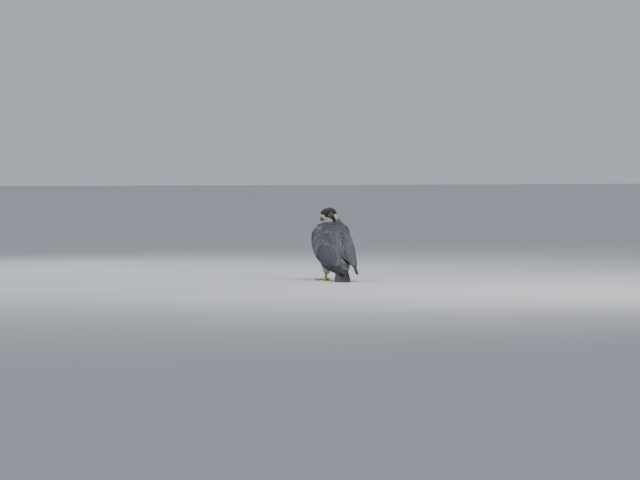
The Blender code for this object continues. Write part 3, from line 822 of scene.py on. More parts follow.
def grown(name, roots, length, wide, depth, thick, marks, seed, finish, rows=None, columns=3, lift=0.0002, stray=0.12,
          profile=ROUND_TIP, ruffle=0.12, droop=0.16, uneven=0.10):
    """Feathers that grow from roots on the outline and walk over it with the lie."""
    rng = np.random.default_rng(seed)
    count = len(roots)
    profile = np.array(profile)
    fractions, shape = profile[:-1, 0], profile[:-1, 1]
    if rows:
        fractions = np.concatenate([np.linspace(0, 0.9, rows - 1), [0.965]])
        shape = np.interp(fractions, profile[:, 0], profile[:, 1])
    at, normal = outline.nearest(roots)
    yaw = rng.normal(0, stray, count)[:, None]
    roll = rng.normal(0, ruffle, count)[:, None]
    raised = rng.uniform(-uneven, uneven, count) * depth
    length = length * rng.uniform(0.88, 1.12, count)
    wide = wide * rng.uniform(0.90, 1.10, count)
    spines, normals, crosses = [], [], []
    for k, t in enumerate([*fractions, 1.0]):
        way_here = lie(at)
        ahead = unit(way_here - normal * (way_here * normal).sum(1, keepdims=True))
        cross = np.cross(normal, ahead)
        ahead = unit(ahead + cross * yaw)
        cross = np.cross(normal, ahead)
        rise = -depth * (1 - t) ** 1.3 + raised * t + lift * np.sqrt(t)
        spines.append(at + normal * rise[:, None])
        normals.append(normal)
        crosses.append(unit(cross + normal * roll))
        if t < 1:
            step = ([*fractions, 1.0][k + 1] - t) * length
            straight = at + ahead * step[:, None]
            at, turned = outline.nearest(straight)
            over_edge = (turned * normal).sum(1) < 0.55
            at = np.where(over_edge[:, None], straight, at)
            normal = np.where(over_edge[:, None], normal, turned)
    tips = spines.pop()
    spines, normals, crosses = (np.stack(x[: len(fractions)], 1) for x in (spines, normals, crosses))
    widths = wide[:, None] * shape * rng.uniform(0.95, 1.05, (count, len(shape)))
    rings, across = leaf_rings(spines, normals, crosses, widths, np.full(count, thick), droop, columns)
    tones = rng.uniform(0, 1, count)
    return leaf_piece(name, rings, tips, across, fractions, length, widths, tones, marks, map_places(roots), finish)


def scattered(keep, spacing, seed):
    """Roots spread evenly over the kept part of the outline, about `spacing` apart, which is given at every point."""
    rng = np.random.default_rng(seed)
    corners = outline.points[outline.triangles]
    area = np.linalg.norm(np.cross(corners[:, 1] - corners[:, 0], corners[:, 2] - corners[:, 0]), axis=1) / 2
    gap = spacing[outline.triangles].mean(1)
    worth = area / gap**2 * keep[outline.triangles].all(1)
    total = worth.sum()
    picks = rng.choice(len(worth), int(total * 7), p=worth / total)
    weights = rng.dirichlet((1, 1, 1), len(picks))
    places = (corners[picks] * weights[:, :, None]).sum(1)
    gaps = gap[picks]
    tree = KDTree(len(places))
    for k, place in enumerate(places.tolist()):
        tree.insert(place, k)
    tree.balance()
    free = np.ones(len(places), bool)
    kept = []
    for k, place in enumerate(places.tolist()):
        if free[k]:
            kept.append(k)
            for _, other, _ in tree.find_range(place, gaps[k]):
                free[other] = False
    return places[kept], gaps[kept]


print("feathers can be made")

# %% [markdown]
# ## Dressing head and body
# Falcons have their smallest feathers round the bill and the eyes, a millimetre or so apart, and the largest on the
# breast and back. So the spacing is worked out at every point of the outline, and length and breadth follow from it.
# Feathers near the eye and the bill are left out where bare skin shows. Each tract is a piece of its own, so that no
# mesh becomes too heavy.

# %% Coat of head and body
skin = new_piece("skin", skin_mesh, feather_finish)
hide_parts(*FLESH)

h = in_head(outline.points)
eye_out, eye_y, eye_z = by_eye(h)
eye_reach = np.where(eye_out > 0, np.hypot(eye_y, eye_z), 0.03)
bill_reach = np.linalg.norm(h - np.array((0, -0.0300, -0.0030)), axis=1)
HEAD_ZONE = from_head_middle < 0.0335
in_front = np.clip(-eye_y / np.maximum(eye_reach, 1e-5), 0, 1)
under_cere = (np.hypot(h[:, 0] / 0.0074, (h[:, 2] + 0.0018) / 0.0084) < 1) & (h[:, 1] < -0.0245)
under_bill = (h[:, 1] < -0.0325) & (h[:, 2] < -0.0050)
BARE = (eye_reach < 0.0069 + 0.0026 * in_front) & (eye_z < brow_line(eye_y) - 0.0002) & HEAD_ZONE
BARE |= under_cere | under_bill
gap_wanted = np.interp(from_head_middle, (0.024, 0.034, 0.046, 0.066, 0.110), (0.90, 1.25, 1.9, 2.9, 3.8)) / 1000
finer = (0.72 + 0.28 * ease(eye_reach, 0.008, 0.016)) * (0.72 + 0.28 * ease(bill_reach, 0.009, 0.022))
gap_wanted = np.where(HEAD_ZONE, gap_wanted * finer, gap_wanted)
gap_wanted[ON_THIGH] = np.interp(outline.points[ON_THIGH][:, 2], (0.025, 0.085), (0.0020, 0.0040))
_, back_side = on_spine(outline.points)
ON_BACK = (back_side > 0.004) & ~HEAD_ZONE & ~ON_WING & ~ON_THIGH
gap_wanted[ON_BACK] *= 1 + 0.55 * ease(from_head_middle[ON_BACK], 0.035, 0.070)


def coat(name, keep, seed, long, broad, slot, thick=0.00014, over_wing=0.0, **more):
    roots, gap = scattered(keep, gap_wanted, seed)
    index = outline.triangles[[outline.tree.find_nearest(p)[2] for p in roots.tolist()], 0]
    marks = markings(roots)
    marks[ON_WING[index]] = (0.0, 1.0, 0.0, 0.0)
    if over_wing:
        more["lift"] = np.where(ON_WING[index], over_wing, 0.0002)
    piece = grown(name, roots, gap * long, gap * broad, COAT_DEPTH[index], thick, marks, seed, feather_finish, **more)
    return piece


DARK_HEAD = markings(outline.points)[:, 0] > 0.5
ON_RUMP = (outline.points[:, 1] - SHIFT[1] > 0.078) & ~ON_WING
sleek = {"ruffle": 0.07, "stray": 0.11, "droop": 0.10, "thick": 0.00008}
coat("crown_feathers", HEAD_ZONE & ~BARE & ~ON_WING & DARK_HEAD, 3, 5.8, 0.68, "plumage_dark", **sleek)
coat("face_feathers", HEAD_ZONE & ~BARE & ~ON_WING & ~DARK_HEAD, 13, 5.8, 0.68, "plumage_pale", **sleek)
UNDER_SHOULDER = (wing_off < 0.0030) & (outline.points[:, 2] > 0.150)
ON_BREAST = ~(HEAD_ZONE | ON_WING | ON_THIGH | ON_BACK | ON_RUMP | UNDER_SHOULDER)
coat("breast_feathers", ON_BREAST, 5, 4.3, 0.92, "plumage_pale", rows=7, columns=5, ruffle=0.07, stray=0.10, droop=0.10,
     thick=0.00010)
coat("thigh_feathers", ON_THIGH, 6, 4.0, 0.84, "plumage_pale", ruffle=0.06, droop=0.12, thick=0.00010)

# %% [markdown]
# ## The folded wing as a map
# Wing feathers aren't strewn about: they stand in rows. A wing is easiest to lay out on a map of its own, where one
# number runs from the wrist to the tips and the other from the lower edge to the back. The map is drawn from the same
# few sections as the solid wing and then pressed onto that wing, so it has the true shape.

# %% Maps of wing, primaries and tail
WING_STATIONS = (
    (0.0420, -0.0830, 0.1520, 0.78, -0.62, 0.05, 0.0110, 0.0090, 0.045),
    (0.0500, -0.0705, 0.1560, 0.91, -0.38, 0.14, 0.0300, 0.0240, 0.050),
    (0.0540, -0.0460, 0.1495, 0.96, -0.12, 0.24, 0.0450, 0.0310, 0.054),
    (0.0550, -0.0110, 0.1300, 0.92, 0.12, 0.36, 0.0515, 0.0310, 0.055),
    (0.0505, 0.0270, 0.1050, 0.82, 0.28, 0.50, 0.0465, 0.0260, 0.054),
    (0.0425, 0.0650, 0.0810, 0.68, 0.36, 0.64, 0.0355, 0.0170, 0.050),
    (0.0330, 0.0970, 0.0615, 0.56, 0.38, 0.74, 0.0220, 0.0090, 0.044),
    (0.0270, 0.1180, 0.0510, 0.50, 0.40, 0.78, 0.0070, 0.0030, 0.040),
)
PRIMARY_STATIONS = (
    (0.0560, 0.0300, 0.0770, 0.86, 0.24, 0.42, 0.0190, 0.0060, 0.060),
    (0.0485, 0.0700, 0.0620, 0.78, 0.28, 0.54, 0.0205, 0.0055, 0.060),
    (0.0375, 0.1100, 0.0500, 0.66, 0.30, 0.68, 0.0185, 0.0042, 0.060),
    (0.0280, 0.1450, 0.0400, 0.54, 0.34, 0.76, 0.0140, 0.0028, 0.060),
    (0.0210, 0.1680, 0.0335, 0.46, 0.36, 0.80, 0.0080, 0.0018, 0.060),
    (0.0180, 0.1800, 0.0295, 0.42, 0.38, 0.82, 0.0022, 0.0010, 0.060),
)


class Map:
    """A grid of points on a surface, read at any place along (first to last) and across (-1 to 1), and a bit beyond."""

    def __init__(self, points, outward, first=0.0, last=1.0):
        self.points, self.first, self.last = points, first, last
        run, cross = np.gradient(points, axis=0), np.gradient(points, axis=1)
        normals = unit(np.cross(run, cross))
        flip = np.sign((normals * outward).sum(-1, keepdims=True))
        self.normals = normals * flip

    def at(self, along, across):
        rows, columns = self.points.shape[:2]
        along = (along - self.first) / (self.last - self.first)
        a, b = along * (rows - 1), (across + 1) / 2 * (columns - 1)
        i, j = np.clip(a.astype(int), 0, rows - 2), np.clip(b.astype(int), 0, columns - 2)
        s, t = (a - i)[..., None], (b - j)[..., None]
        found = []
        for grid in (self.points, self.normals):
            near = grid[i, j] * (1 - t) + grid[i, j + 1] * t
            far = grid[i + 1, j] * (1 - t) + grid[i + 1, j + 1] * t
            found.append(near * (1 - s) + far * s)
        return found[0], unit(found[1])


def blade_map(stations, mirror, onto=None, rows=61, columns=25):
    """The outer face of a blade. It is pressed onto a solid if one is given."""
    read = through(stations, rows)
    runs = unit(np.gradient(read[:, :3], axis=0))
    points, outward = np.empty((rows, columns, 3)), np.empty((rows, columns, 3))
    for i, (row, run) in enumerate(zip(read, runs)):
        facing, (wide, thick, wrap) = row[3:6], row[6:]
        normal = unit(facing - run * (facing @ run))
        dorsal = np.cross(normal, run)
        for j, across in enumerate(np.linspace(-1, 1, columns)):
            bend = across * wide / wrap
            face = normal * cos(bend) + dorsal * sin(bend)
            half = thick / 2 * (1 - abs(across) ** 3) ** 0.5
            points[i, j] = row[:3] + dorsal * wrap * sin(bend) + normal * wrap * (cos(bend) - 1) + face * half
            outward[i, j] = face
    flip = np.array((mirror, 1, 1))
    points, outward = points * flip + SHIFT * (0, 1, 1), outward * flip
    if onto:
        places, _ = onto.nearest((points + outward * 0.006).reshape(-1, 3))
        points = places.reshape(points.shape)
        for _ in range(3):
            inner = (points[:-2, 1:-1] + points[2:, 1:-1] + points[1:-1, :-2] + points[1:-1, 2:]) / 4
            points[1:-1, 1:-1] = inner
    return Map(points, outward)


wing_maps = {side: blade_map(WING_STATIONS, mirror, flesh["wing_" + side]) for side, mirror in SIDES.items()}
primary_maps = {side: blade_map(PRIMARY_STATIONS, mirror) for side, mirror in SIDES.items()}
print("wing map", wing_maps["l"].points.shape)


ALONG, ACROSS, FACING = (np.zeros(len(outline.points)) for _ in range(3))
for side, mirror in SIDES.items():
    mine = ON_WING & (outline.points[:, 0] * mirror > 0)
    tree = KDTree(wing_maps[side].points[..., 0].size)
    for k, place in enumerate(wing_maps[side].points.reshape(-1, 3).tolist()):
        tree.insert(place, k)
    tree.balance()
    near = np.array([tree.find(p)[1] for p in outline.points[mine].tolist()])
    ALONG[mine], ACROSS[mine] = near // 25 / 60, near % 25 / 12 - 1
    FACING[mine] = (wing_maps[side].normals.reshape(-1, 3)[near] * outline.normals[mine]).sum(1)
SHOULDER = ON_WING & (FACING > 0.1) & (ACROSS > 0.64 + 0.1 * ALONG) & (ALONG < 0.60)
WRIST = ON_WING & ~SHOULDER & (ALONG < 0.055)
LINING = ON_WING & ~SHOULDER & ~WRIST & (FACING < np.where(ALONG < 0.35, 0.3, -0.15))
LINING &= (ALONG < 0.35) | ((abs(ACROSS) < 0.90) & (ALONG < 0.80))
gap_wanted[ON_WING] = np.where(SHOULDER, 0.0062 + 0.0030 * ALONG, np.where(WRIST, 0.0030, 0.0046))[ON_WING]
coat("back_feathers", (ON_BACK & ~ON_RUMP) | SHOULDER, 4, 3.6, 1.02, "plumage_back", rows=8, columns=5, ruffle=0.04,
     stray=0.05, droop=0.08, uneven=0.26, over_wing=0.0016)
coat("wrist_feathers", WRIST, 8, 3.2, 0.95, "plumage_back", rows=7, columns=5, ruffle=0.05, stray=0.07, droop=0.10)
coat("wing_lining", LINING, 7, 3.2, 0.95, "plumage_back", rows=7, columns=5, ruffle=0.04, stray=0.05, droop=0.08,
     lift=-0.0004)


def laid(name, surface, starts, ends, wide, finish, marks, tones, sink=0.0020, raised=0.0, lift=0.0004, thick=0.0003,
         rows=10, columns=5, profile=ROUND_TIP, curve=1.0, lean=0.0, droop=0.06, patches="roots"):
    """Feathers laid on a map from a start to an end, both given as (along, across)."""
    starts, ends, wide = (np.asarray(x, float) for x in (starts, ends, wide))
    count = len(starts)
    profile = np.array(profile)
    fractions = np.concatenate([np.linspace(0, 0.9, rows - 2), [0.95, 0.985]])
    steps = np.concatenate([fractions, [1.0]])
    along = starts[:, :1] + (ends - starts)[:, :1] * steps
    across = starts[:, 1:] + (ends - starts)[:, 1:] * steps**curve
    places, normals = surface.at(along, across)
    rise = -sink * (1 - steps[None]) ** 1.3 + np.reshape(raised, (-1, 1)) + lift * steps[None] ** 2
    spines = places + normals * rise[..., None]
    run = unit(np.gradient(spines, axis=1))
    crosses = unit(np.cross(normals, run))
    shape = np.interp(fractions, profile[:, 0], profile[:, 1])
    rng = np.random.default_rng(count)
    widths = wide[:, None] * shape * rng.uniform(0.975, 1.025, (count, len(shape)))
    keep = slice(0, len(fractions))
    rings, side = leaf_rings(spines[:, keep], normals[:, keep], crosses[:, keep], widths, np.full(count, thick), droop,
                             columns, lean)
    lengths = np.linalg.norm(np.diff(spines, axis=1), axis=2).sum(1)
    roots = map_places(places[:, 2]) if isinstance(patches, str) else patches
    return leaf_piece(name, rings, spines[:, -1], side, fractions, lengths, widths, tones, marks, roots, finish)


# %% [markdown]
# ## Wing coverts
# From the wrist backwards a folded wing shows many short rows of small coverts, one row of middle ones and one of
# long ones. Each row is staggered against the one before, like roof tiles, and ends in a gentle curve. The rows come
# from loops over the map, so their number and size are easy to change.

# %% Coverts
def across_width(surface, along):
    """Half the wing's width, measured over its surface."""
    edge, _ = surface.at(np.full(33, along), np.linspace(-1, 1, 33))
    return np.linalg.norm(np.diff(edge, axis=0), axis=1).sum() / 2


def wing_marks(count, dark=0.0):
    return np.tile((dark, 1.0, 0.0, 0.0), (count, 1))


def covert_rows(side):
    surface = wing_maps[side]
    starts, ends, wides, raised = [], [], [], []
    row_ends = [*np.linspace(0.030, 0.345, 14), 0.425, 0.545]
    row_lengths = [*np.linspace(0.072, 0.085, 14), 0.135, 0.215]
    row_gaps = [*np.linspace(0.0036, 0.0074, 14), 0.0082, 0.0092]
    for k, (end, length, gap) in enumerate(zip(row_ends, row_lengths, row_gaps)):
        half = across_width(surface, min(max(end - length * 0.5, 0.02), 1))
        number = max(int(2 * half / gap), 3)
        for v in (np.arange(number) + 0.5 * (k % 2) + 0.25) / number * 2.04 - 1.02:
            tip = end + 0.030 * v * v - 0.020 * v
            starts.append((tip - length, v * 0.98))
            ends.append((tip, v))
            wides.append(gap * 0.68)
            raised.append(0.0005)
    return starts, ends, wides, raised


for side in SIDES:
    starts, ends, wides, raised = covert_rows(side)
    number = len(starts)
    tones = np.random.default_rng(21).uniform(0.15, 0.85, number)
    coverts = laid("wing_coverts_" + side, wing_maps[side], starts, ends, wides, feather_finish, wing_marks(number), tones,
                   raised=raised, sink=0.0026, thick=0.0002)

# %% [markdown]
# ## Quills of wing and tail
# The long feathers of wing and tail are stiff and smooth, and darker than the coverts. A peregrine's tail is crossed
# by many dark bars and ends in a pale band, and the secondaries are barred more faintly. This second material reads
# the same numbers as the first, but its bars are a fixed distance apart in millimetres, however long the feather is.

# %% Quill material
def quill_finish(name):
    f = Finish(name)
    across, along, tone = f.split(f.stored("vane"))
    mm_across, mm_along, _ = f.split(f.stored("barb"))
    tip, barred, light = f.split(f.stored("marks"))
    wobble = f.noise(260.0, f.place(), 2.0)
    side = abs(across)
    barb = (mm_along * 8.0 - abs(mm_across) * 9.0 + wobble * 4.0).wave()
    coarse = (mm_along * 1.3 - abs(mm_across) * 1.5 + wobble * 5.0).wave()
    shaft = side.over(0.075, 0.03)
    bars = (mm_along * 0.66 + side * 0.7 + wobble * 1.2 + tone * 12.0).wave().over(0.38, 0.85)
    ground = f.blend(light, (0.022, 0.022, 0.026), (0.142, 0.150, 0.176))
    stripe = f.blend(light, (0.014, 0.014, 0.016), (0.070, 0.074, 0.090))
    colour = f.blend(bars * barred, ground, stripe)
    edge = (side + wobble * 0.06).over(0.90, 0.985)
    colour = f.blend(edge * 0.30, colour, (0.20, 0.20, 0.205))
    colour = f.blend(shaft * 0.7, colour, (0.020, 0.019, 0.020))
    colour = f.blend((along + wobble * 0.012).over(0.945, 0.962) * tip, colour, (0.42, 0.38, 0.32))
    colour = colour * (0.90 + tone * 0.16) * (0.93 + barb * 0.08 + coarse * 0.06)
    bump = f.bump(barb * 0.4 + coarse * 0.35 + shaft * 1.2, 0.30, 0.0003)
    f.done(Base_Color=colour, Roughness=0.54 + barb * 0.10, Normal=bump, Specular_IOR_Level=0.3, Sheen_Weight=0.03)
    return f.material


flight_finish = quill_finish("quills")


# %% [markdown]
# ## Secondaries, tertials and scapulars
# Under the long coverts lie the secondaries, whose tips step down along the wing's rear edge. The innermost lie on
# top. Over the inner edge of the wing fall the scapulars, broad feathers from the shoulder that hide where the wing
# meets the back.

# %% Secondaries and scapulars
SECONDARIES = 13
for side in SIDES:
    k = np.arange(SECONDARIES) / (SECONDARIES - 1)
    starts = np.stack([0.30 + 0.06 * k, -0.86 + 1.62 * k], 1)
    ends = np.stack([0.735 + 0.272 * k**0.62, -1.00 + 1.08 * k**1.15], 1)
    starts = np.concatenate([starts, [(0.34, 0.74), (0.33, 0.84), (0.30, 0.94), (0.24, 1.04)]])
    ends = np.concatenate([ends, [(0.995, 0.36), (0.965, 0.62), (0.925, 0.86), (0.86, 1.06)]])
    k = np.concatenate([k, np.linspace(1.08, 1.32, 4)])
    wides = 0.0082 + 0.0022 * k
    tones = np.random.default_rng(31).uniform(0.1, 0.9, len(k))
    marks = np.stack([0.10 + 0 * k, 0.36 + 0 * k, 0.55 + 0.40 * np.minimum(k, 1), 0 * k], 1)
    flights = laid("secondaries_" + side, wing_maps[side], starts, ends, wides, flight_finish, marks, tones,
                   raised=-0.0012 + 0.0022 * k, sink=0.0015, thick=0.0005, rows=22, columns=7, profile=QUILL_TIP,
                   curve=1.2, lean=0.35, patches=None)
    starts, ends, wides, raised = [], [], [], []
    for column, v in enumerate((0.50, 0.70)):
        for row, u in enumerate(np.linspace(0.02, 0.60, 9)):
            u = u + 0.033 * (column % 2)
            starts.append((u - 0.075, v - 0.02))
            ends.append((u + 0.095 + 0.10 * u, v - 0.10 - 0.10 * u))
            wides.append(0.0082 + 0.0035 * u)
            raised.append(0.0008 + 0.0003 * column - 0.0004 * u)
    number = len(starts)
    scapulars = laid("scapulars_" + side, wing_maps[side], starts, ends, wides, feather_finish, wing_marks(number),
                     np.random.default_rng(41).uniform(0.1, 0.9, number), raised=raised, sink=0.0026, columns=7, rows=12)

# %% [markdown]
# ## Primaries
# The wing's point is made by the outer primaries, which slide under the secondaries when the wing folds. They are
# narrow, stiff and nearly black. The longest reaches the tip and its neighbours step back from it, the inner ones
# lying on top.

# %% Primaries
for side in SIDES:
    number = 9
    k = np.arange(number) / (number - 1)
    starts = np.stack([0 * k, -0.70 + 1.30 * k], 1)
    ends = np.stack([np.array((0.985, 1.0, 0.955, 0.88, 0.80, 0.71, 0.62, 0.53, 0.45)), -0.62 + 1.30 * k], 1)
    wides = np.full(number, 0.0078)
    tones = np.random.default_rng(51).uniform(0.2, 0.8, number)
    marks = np.stack([0.05 + 0 * k, 0.20 + 0 * k, 0.02 + 0.06 * k, 0 * k], 1)
    primaries = laid("primaries_of_wing_" + side, primary_maps[side], starts, ends, wides, flight_finish, marks, tones,
                     raised=-0.0030 + 0.0026 * k, sink=0.0, lift=0.0, thick=0.0007, rows=26, columns=7,
                     profile=((0, 0.9), (0.5, 1), (0.8, 0.86), (0.93, 0.55), (0.98, 0.3), (1, 0)), lean=-0.5,
                     patches=None)
    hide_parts("primaries_" + side)

# %% [markdown]
# ## Tail
# The tail has twelve feathers. Closed, it shows the middle pair whole and only the edges of the rest, which lie
# below them one after another. The end of the tail is laid flat on the ground. The map of the tail is worked out
# from the same arch as the solid tail.

# %% Tail
TAIL_LENGTH, TAIL_HALF_WIDTH = 0.163, 0.0275
TAIL_ROOT, TAIL_SWING, TAIL_PRESS = np.array((0.0, 0.070, 0.0580)), radians(16), 0.0075
TAIL_TOP = 0.0022


def tail_map(rows=81, columns=25):
    slope = np.arcsin((TAIL_ROOT[2] + TAIL_PRESS) / TAIL_LENGTH)
    away, across = np.array((sin(TAIL_SWING), cos(TAIL_SWING), 0)), np.array((cos(TAIL_SWING), -sin(TAIL_SWING), 0))
    u, v = np.meshgrid(np.linspace(0, 1, rows), np.linspace(-1, 1, columns), indexing="ij")
    spread = TAIL_HALF_WIDTH * (0.52 + 0.48 * np.sin(np.minimum(u * 1.15, 1) * pi / 2))
    thick = 0.0062 * (1 - u) ** 1.2 + 0.0012
    bow = 0.010 * np.sin(u * pi) * (1 - u)
    reach = TAIL_LENGTH * u
    height = TAIL_ROOT[2] - reach * np.sin(slope) + bow - 0.0075 * (1 - 0.75 * u) * v**2 + thick / 2
    low = TAIL_TOP - 0.0006 * v**2
    height = low + (height - low + np.sqrt((height - low) ** 2 + 0.0025**2)) / 2
    places = TAIL_ROOT + away * (reach * np.cos(slope))[..., None] + across * (v * spread)[..., None]
    places[..., 2] = height
    return Map(places + SHIFT, np.array((0, 0.3, 1.0)))


number = 12
order = np.array((0, 0, 1, 1, 2, 2, 3, 3, 4, 4, 5, 5))
hand = np.array((1, -1) * 6)
shift_out = hand * (0.14 + 0.122 * order)
starts = np.stack([np.zeros(number), shift_out * 0.5], 1)
ends = np.stack([1.0 - 0.020 * order**1.5 / 3 - 0.004 * (hand < 0), shift_out], 1)
marks = np.stack([np.ones(number), np.full(number, 0.95), np.full(number, 0.24), np.zeros(number)], 1)
tail = laid("tail_feathers", tail_map(), starts, ends, np.full(number, 0.0098), flight_finish, marks,
            np.random.default_rng(61).uniform(0.35, 0.55, number), sink=0.0,
            raised=-0.00026 * order - 0.00012 * (hand < 0), lift=0.0, thick=0.0004, rows=30, columns=7, profile=QUILL_TIP,
            droop=0.02, patches=None)
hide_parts("tail")

# %% [markdown]
# ## Tail coverts and fluff
# Shorter feathers hide where the long ones are rooted, above and below the tail. They need a surface that runs from the
# body onto the tail without a step, so one is made by taking the higher of the two at every point, seen from above, and
# the lower of the two, seen from below. In the gap between the folded wings some soft down of the rump shows, paler and
# warmer than the back.

# %% Tail coverts and fluff
def onto_tail(face):
    """A map from the rump onto the tail, of the upper (1) or the lower (-1) side."""
    full = tail_map(rows=121)
    steps, sides = np.meshgrid(np.linspace(-0.42, 0.45, 53), np.linspace(-1, 1, 25), indexing="ij")
    places, _ = full.at(steps, sides)
    back = np.minimum(steps, 0) * TAIL_LENGTH * 0.9
    places[..., 0] -= sin(TAIL_SWING) * back
    places[..., 1] += (1 - cos(TAIL_SWING)) * back
    for _ in range(12):
        places[1:-1] = (places[:-2] + 2 * places[1:-1] + places[2:]) / 4
    body = flesh["trunk"].tree
    heights = places[..., 2] - (0.0030 if face < 0 else 0)
    for row in range(places.shape[0]):
        for column in range(places.shape[1]):
            x, y = places[row, column, :2]
            hit = body.ray_cast(Vector((x, y, 0.4 * (face > 0))), Vector((0, 0, -face)))[0]
            if hit is not None:
                a, b = heights[row, column] * face, hit[2] * face
                heights[row, column] = face * (a + b + np.sqrt((a - b) ** 2 + 0.003**2)) / 2
            elif steps[row, column] < 0.1:
                heights[row, column] = np.nan
    for row in heights:
        kept = ~np.isnan(row)
        row[~kept] = np.interp(np.flatnonzero(~kept), np.flatnonzero(kept), row[kept])
    for _ in range(6):
        heights[1:-1, 1:-1] = (heights[:-2, 1:-1] + heights[2:, 1:-1] + heights[1:-1, :-2] + heights[1:-1, 2:]) / 4
    places[..., 2] = np.maximum(heights, 0.0016)
    return Map(places, np.array((0, 0.2 * face, face)), -0.42, 0.45)


def tail_coverts(name, face, marks_of_all, slot, rows_of_coverts, reach_out, seed, raise_by=0.0008, **more):
    starts, ends, wides = [], [], []
    rng = np.random.default_rng(seed)
    for end, long, number, wide in rows_of_coverts:
        for k in range(number):
            v = ((k + 0.5) / number * 2 - 1) * reach_out + rng.normal(0, 0.025)
            tip = end - 0.06 * v * v + rng.normal(0, 0.014)
            starts.append((tip - long, v * 0.95))
            ends.append((tip, v))
            wides.append(wide * rng.uniform(0.9, 1.1))
    count = len(starts)
    piece = laid(name, face, starts, ends, wides, feather_finish, np.tile(marks_of_all, (count, 1)),
                 np.random.default_rng(seed).uniform(0.1, 0.9, count), raised=raise_by, sink=0.003, rows=12, columns=7,
                 thick=0.0003, lift=0.0002, profile=BROAD_TIP, **more)
    return piece


upper_rows = [(end, 0.26, 6 + (k % 2), 0.0064 - 0.0003 * k) for k, end in enumerate((0.42, 0.36, 0.29, 0.22, 0.15, 0.08, 0.01, -0.06, -0.13))]
tail_coverts("upper_tail_coverts", onto_tail(1), (0.0, 1.0, 0.0, 0.0), "plumage_back", upper_rows, 0.97, 71, raise_by=0.0017)
lower_rows = [(end, 0.28, 6 + (k % 2), 0.0066 - 0.0003 * k) for k, end in enumerate((0.43, 0.33, 0.23, 0.14, 0.05, -0.05))]
tail_coverts("under_tail_coverts", onto_tail(-1), (0.0, 0.0, 0.8, 0.0), "plumage_pale", lower_rows, 0.80, 72)

rng = np.random.default_rng(73)
count = 200
starts = np.stack([rng.uniform(-0.10, 0.06, count), rng.uniform(-0.85, 0.20, count)], 1)
ends = starts + np.stack([rng.normal(0.095, 0.015, count), rng.normal(0, 0.20, count)], 1)
grey = np.clip(rng.uniform(0.2, 0.9, count) + ease(-starts[:, 0], -0.01, 0.04), 0, 1)
marks = np.stack([np.zeros(count), grey, np.zeros(count), np.zeros(count)], 1)
fluff = laid("rump_fluff", onto_tail(1), starts, ends, rng.uniform(0.0010, 0.0019, count), feather_finish, marks,
             rng.uniform(0.2, 1, count), sink=0.0035, raised=rng.uniform(0.0008, 0.0034, count), lift=0.0016, thick=0.0002,
             rows=9, droop=0.22)

# %% [markdown]
# ## Finishes for bare skin, horn and eyes
# Bare skin on a falcon is waxy and yellow, and on the feet it is cast in small scales, with painted shade of a darker
# brown in the furrows between them. Horn is smooth and polished, with faint lines that run lengthways. A living eye
# looks wet: it needs a very smooth coat over a dark brown iris and a black pupil.

# %% Bare finishes
def waxy_skin(name):
    f = Finish(name)
    relief, dull, _ = f.split(f.stored("relief"))
    mottle = f.noise(420.0, f.place(), 3.0)
    pits = f.cells(2600.0, f.place())
    colour = f.blend(mottle, (0.58, 0.42, 0.085), (0.72, 0.56, 0.17))
    # Painted shade: darker brown where the first stored number is low, which on the feet is the furrows between plates.
    colour = f.blend(relief.over(0.70, 0.05) * 0.80, colour, (0.27, 0.150, 0.035))
    colour = f.blend(dull * 0.75, colour, (0.42, 0.38, 0.25))
    f.done(Base_Color=colour, Roughness=0.42 + mottle * 0.16, Specular_IOR_Level=0.45,
           Normal=f.bump(pits * 0.5 + mottle * 0.8, 0.30, 0.0002))
    return f.material


def horn(name, base, middle, tip):
    f = Finish(name)
    along, around, _ = f.split(f.stored("relief"))
    grain = f.noise(14.0, f.join(around * 6.0, along * 0.6, 0.0), 3.0)
    scratch = f.noise(1500.0, f.place(), 2.0)
    colour = f.blend(along.over(0.02, 0.40), base, middle)
    colour = f.blend((along + grain * 0.12).over(0.36, 0.86), colour, tip)
    colour = colour * (0.90 + grain * 0.22)
    f.done(Base_Color=colour, Roughness=0.22 + scratch * 0.14, Coat_Weight=0.25, Coat_Roughness=0.15,
           Normal=f.bump(grain * 0.6 + scratch * 0.2, 0.22, 0.0002))
    return f.material


def wet_eye(name):
    f = Finish(name)
    turn, around, _ = f.split(f.stored("relief"))
    rays = f.noise(9.0, f.join(around * 7.0, turn * 1.4, 0.0), 3.0)
    iris = f.blend(rays, (0.018, 0.008, 0.004), (0.055, 0.024, 0.010))
    colour = f.blend(turn.over(0.42, 0.47), (0.003, 0.003, 0.003), iris)
    colour = f.blend(turn.over(0.70, 0.82), colour, (0.006, 0.004, 0.003))
    f.done(Base_Color=colour, Roughness=0.04 + rays * 0.01, Coat_Weight=1.0, Coat_Roughness=0.02, Specular_IOR_Level=0.6)
    return f.material


waxy = waxy_skin("waxy_skin")
bill_horn = horn("bill_horn", (0.215, 0.235, 0.255), (0.072, 0.088, 0.112), (0.012, 0.013, 0.017))
claw_horn = horn("claw_horn", (0.050, 0.045, 0.042), (0.020, 0.018, 0.018), (0.010, 0.009, 0.009))
eye_finish = wet_eye("wet_eye")
print("bare finishes", [m.name for m in (waxy, bill_horn, claw_horn, eye_finish)])

# %% [markdown]
# ## Bill and cere
# A falcon's bill hooks down from its root, and each side of its edge has a pointed tooth with a notch before the tip,
# used to break the neck of its prey. The cere is the soft yellow skin round its root, and in each nostril stands a
# small cone. The bill is a row of leaning ovals joined into a skin, as on the solid, but finer and with the tooth.

# %% Lofts
def loft_parts(rings, relief, closed_ends=True):
    """Points, faces and stored numbers of a skin over rings."""
    rings = np.asarray(rings, float)
    rows, sides = rings.shape[:2]
    faces = []
    for row in range(rows - 1):
        for k in range(sides):
            here, after = row * sides + k, row * sides + (k + 1) % sides
            faces.append((here, after, after + sides, here + sides))
    if closed_ends:
        faces.append(tuple(range(sides))[::-1])
        faces.append(tuple(range((rows - 1) * sides, rows * sides)))
    return rings.reshape(-1, 3), faces, np.asarray(relief, float).reshape(-1, 3)


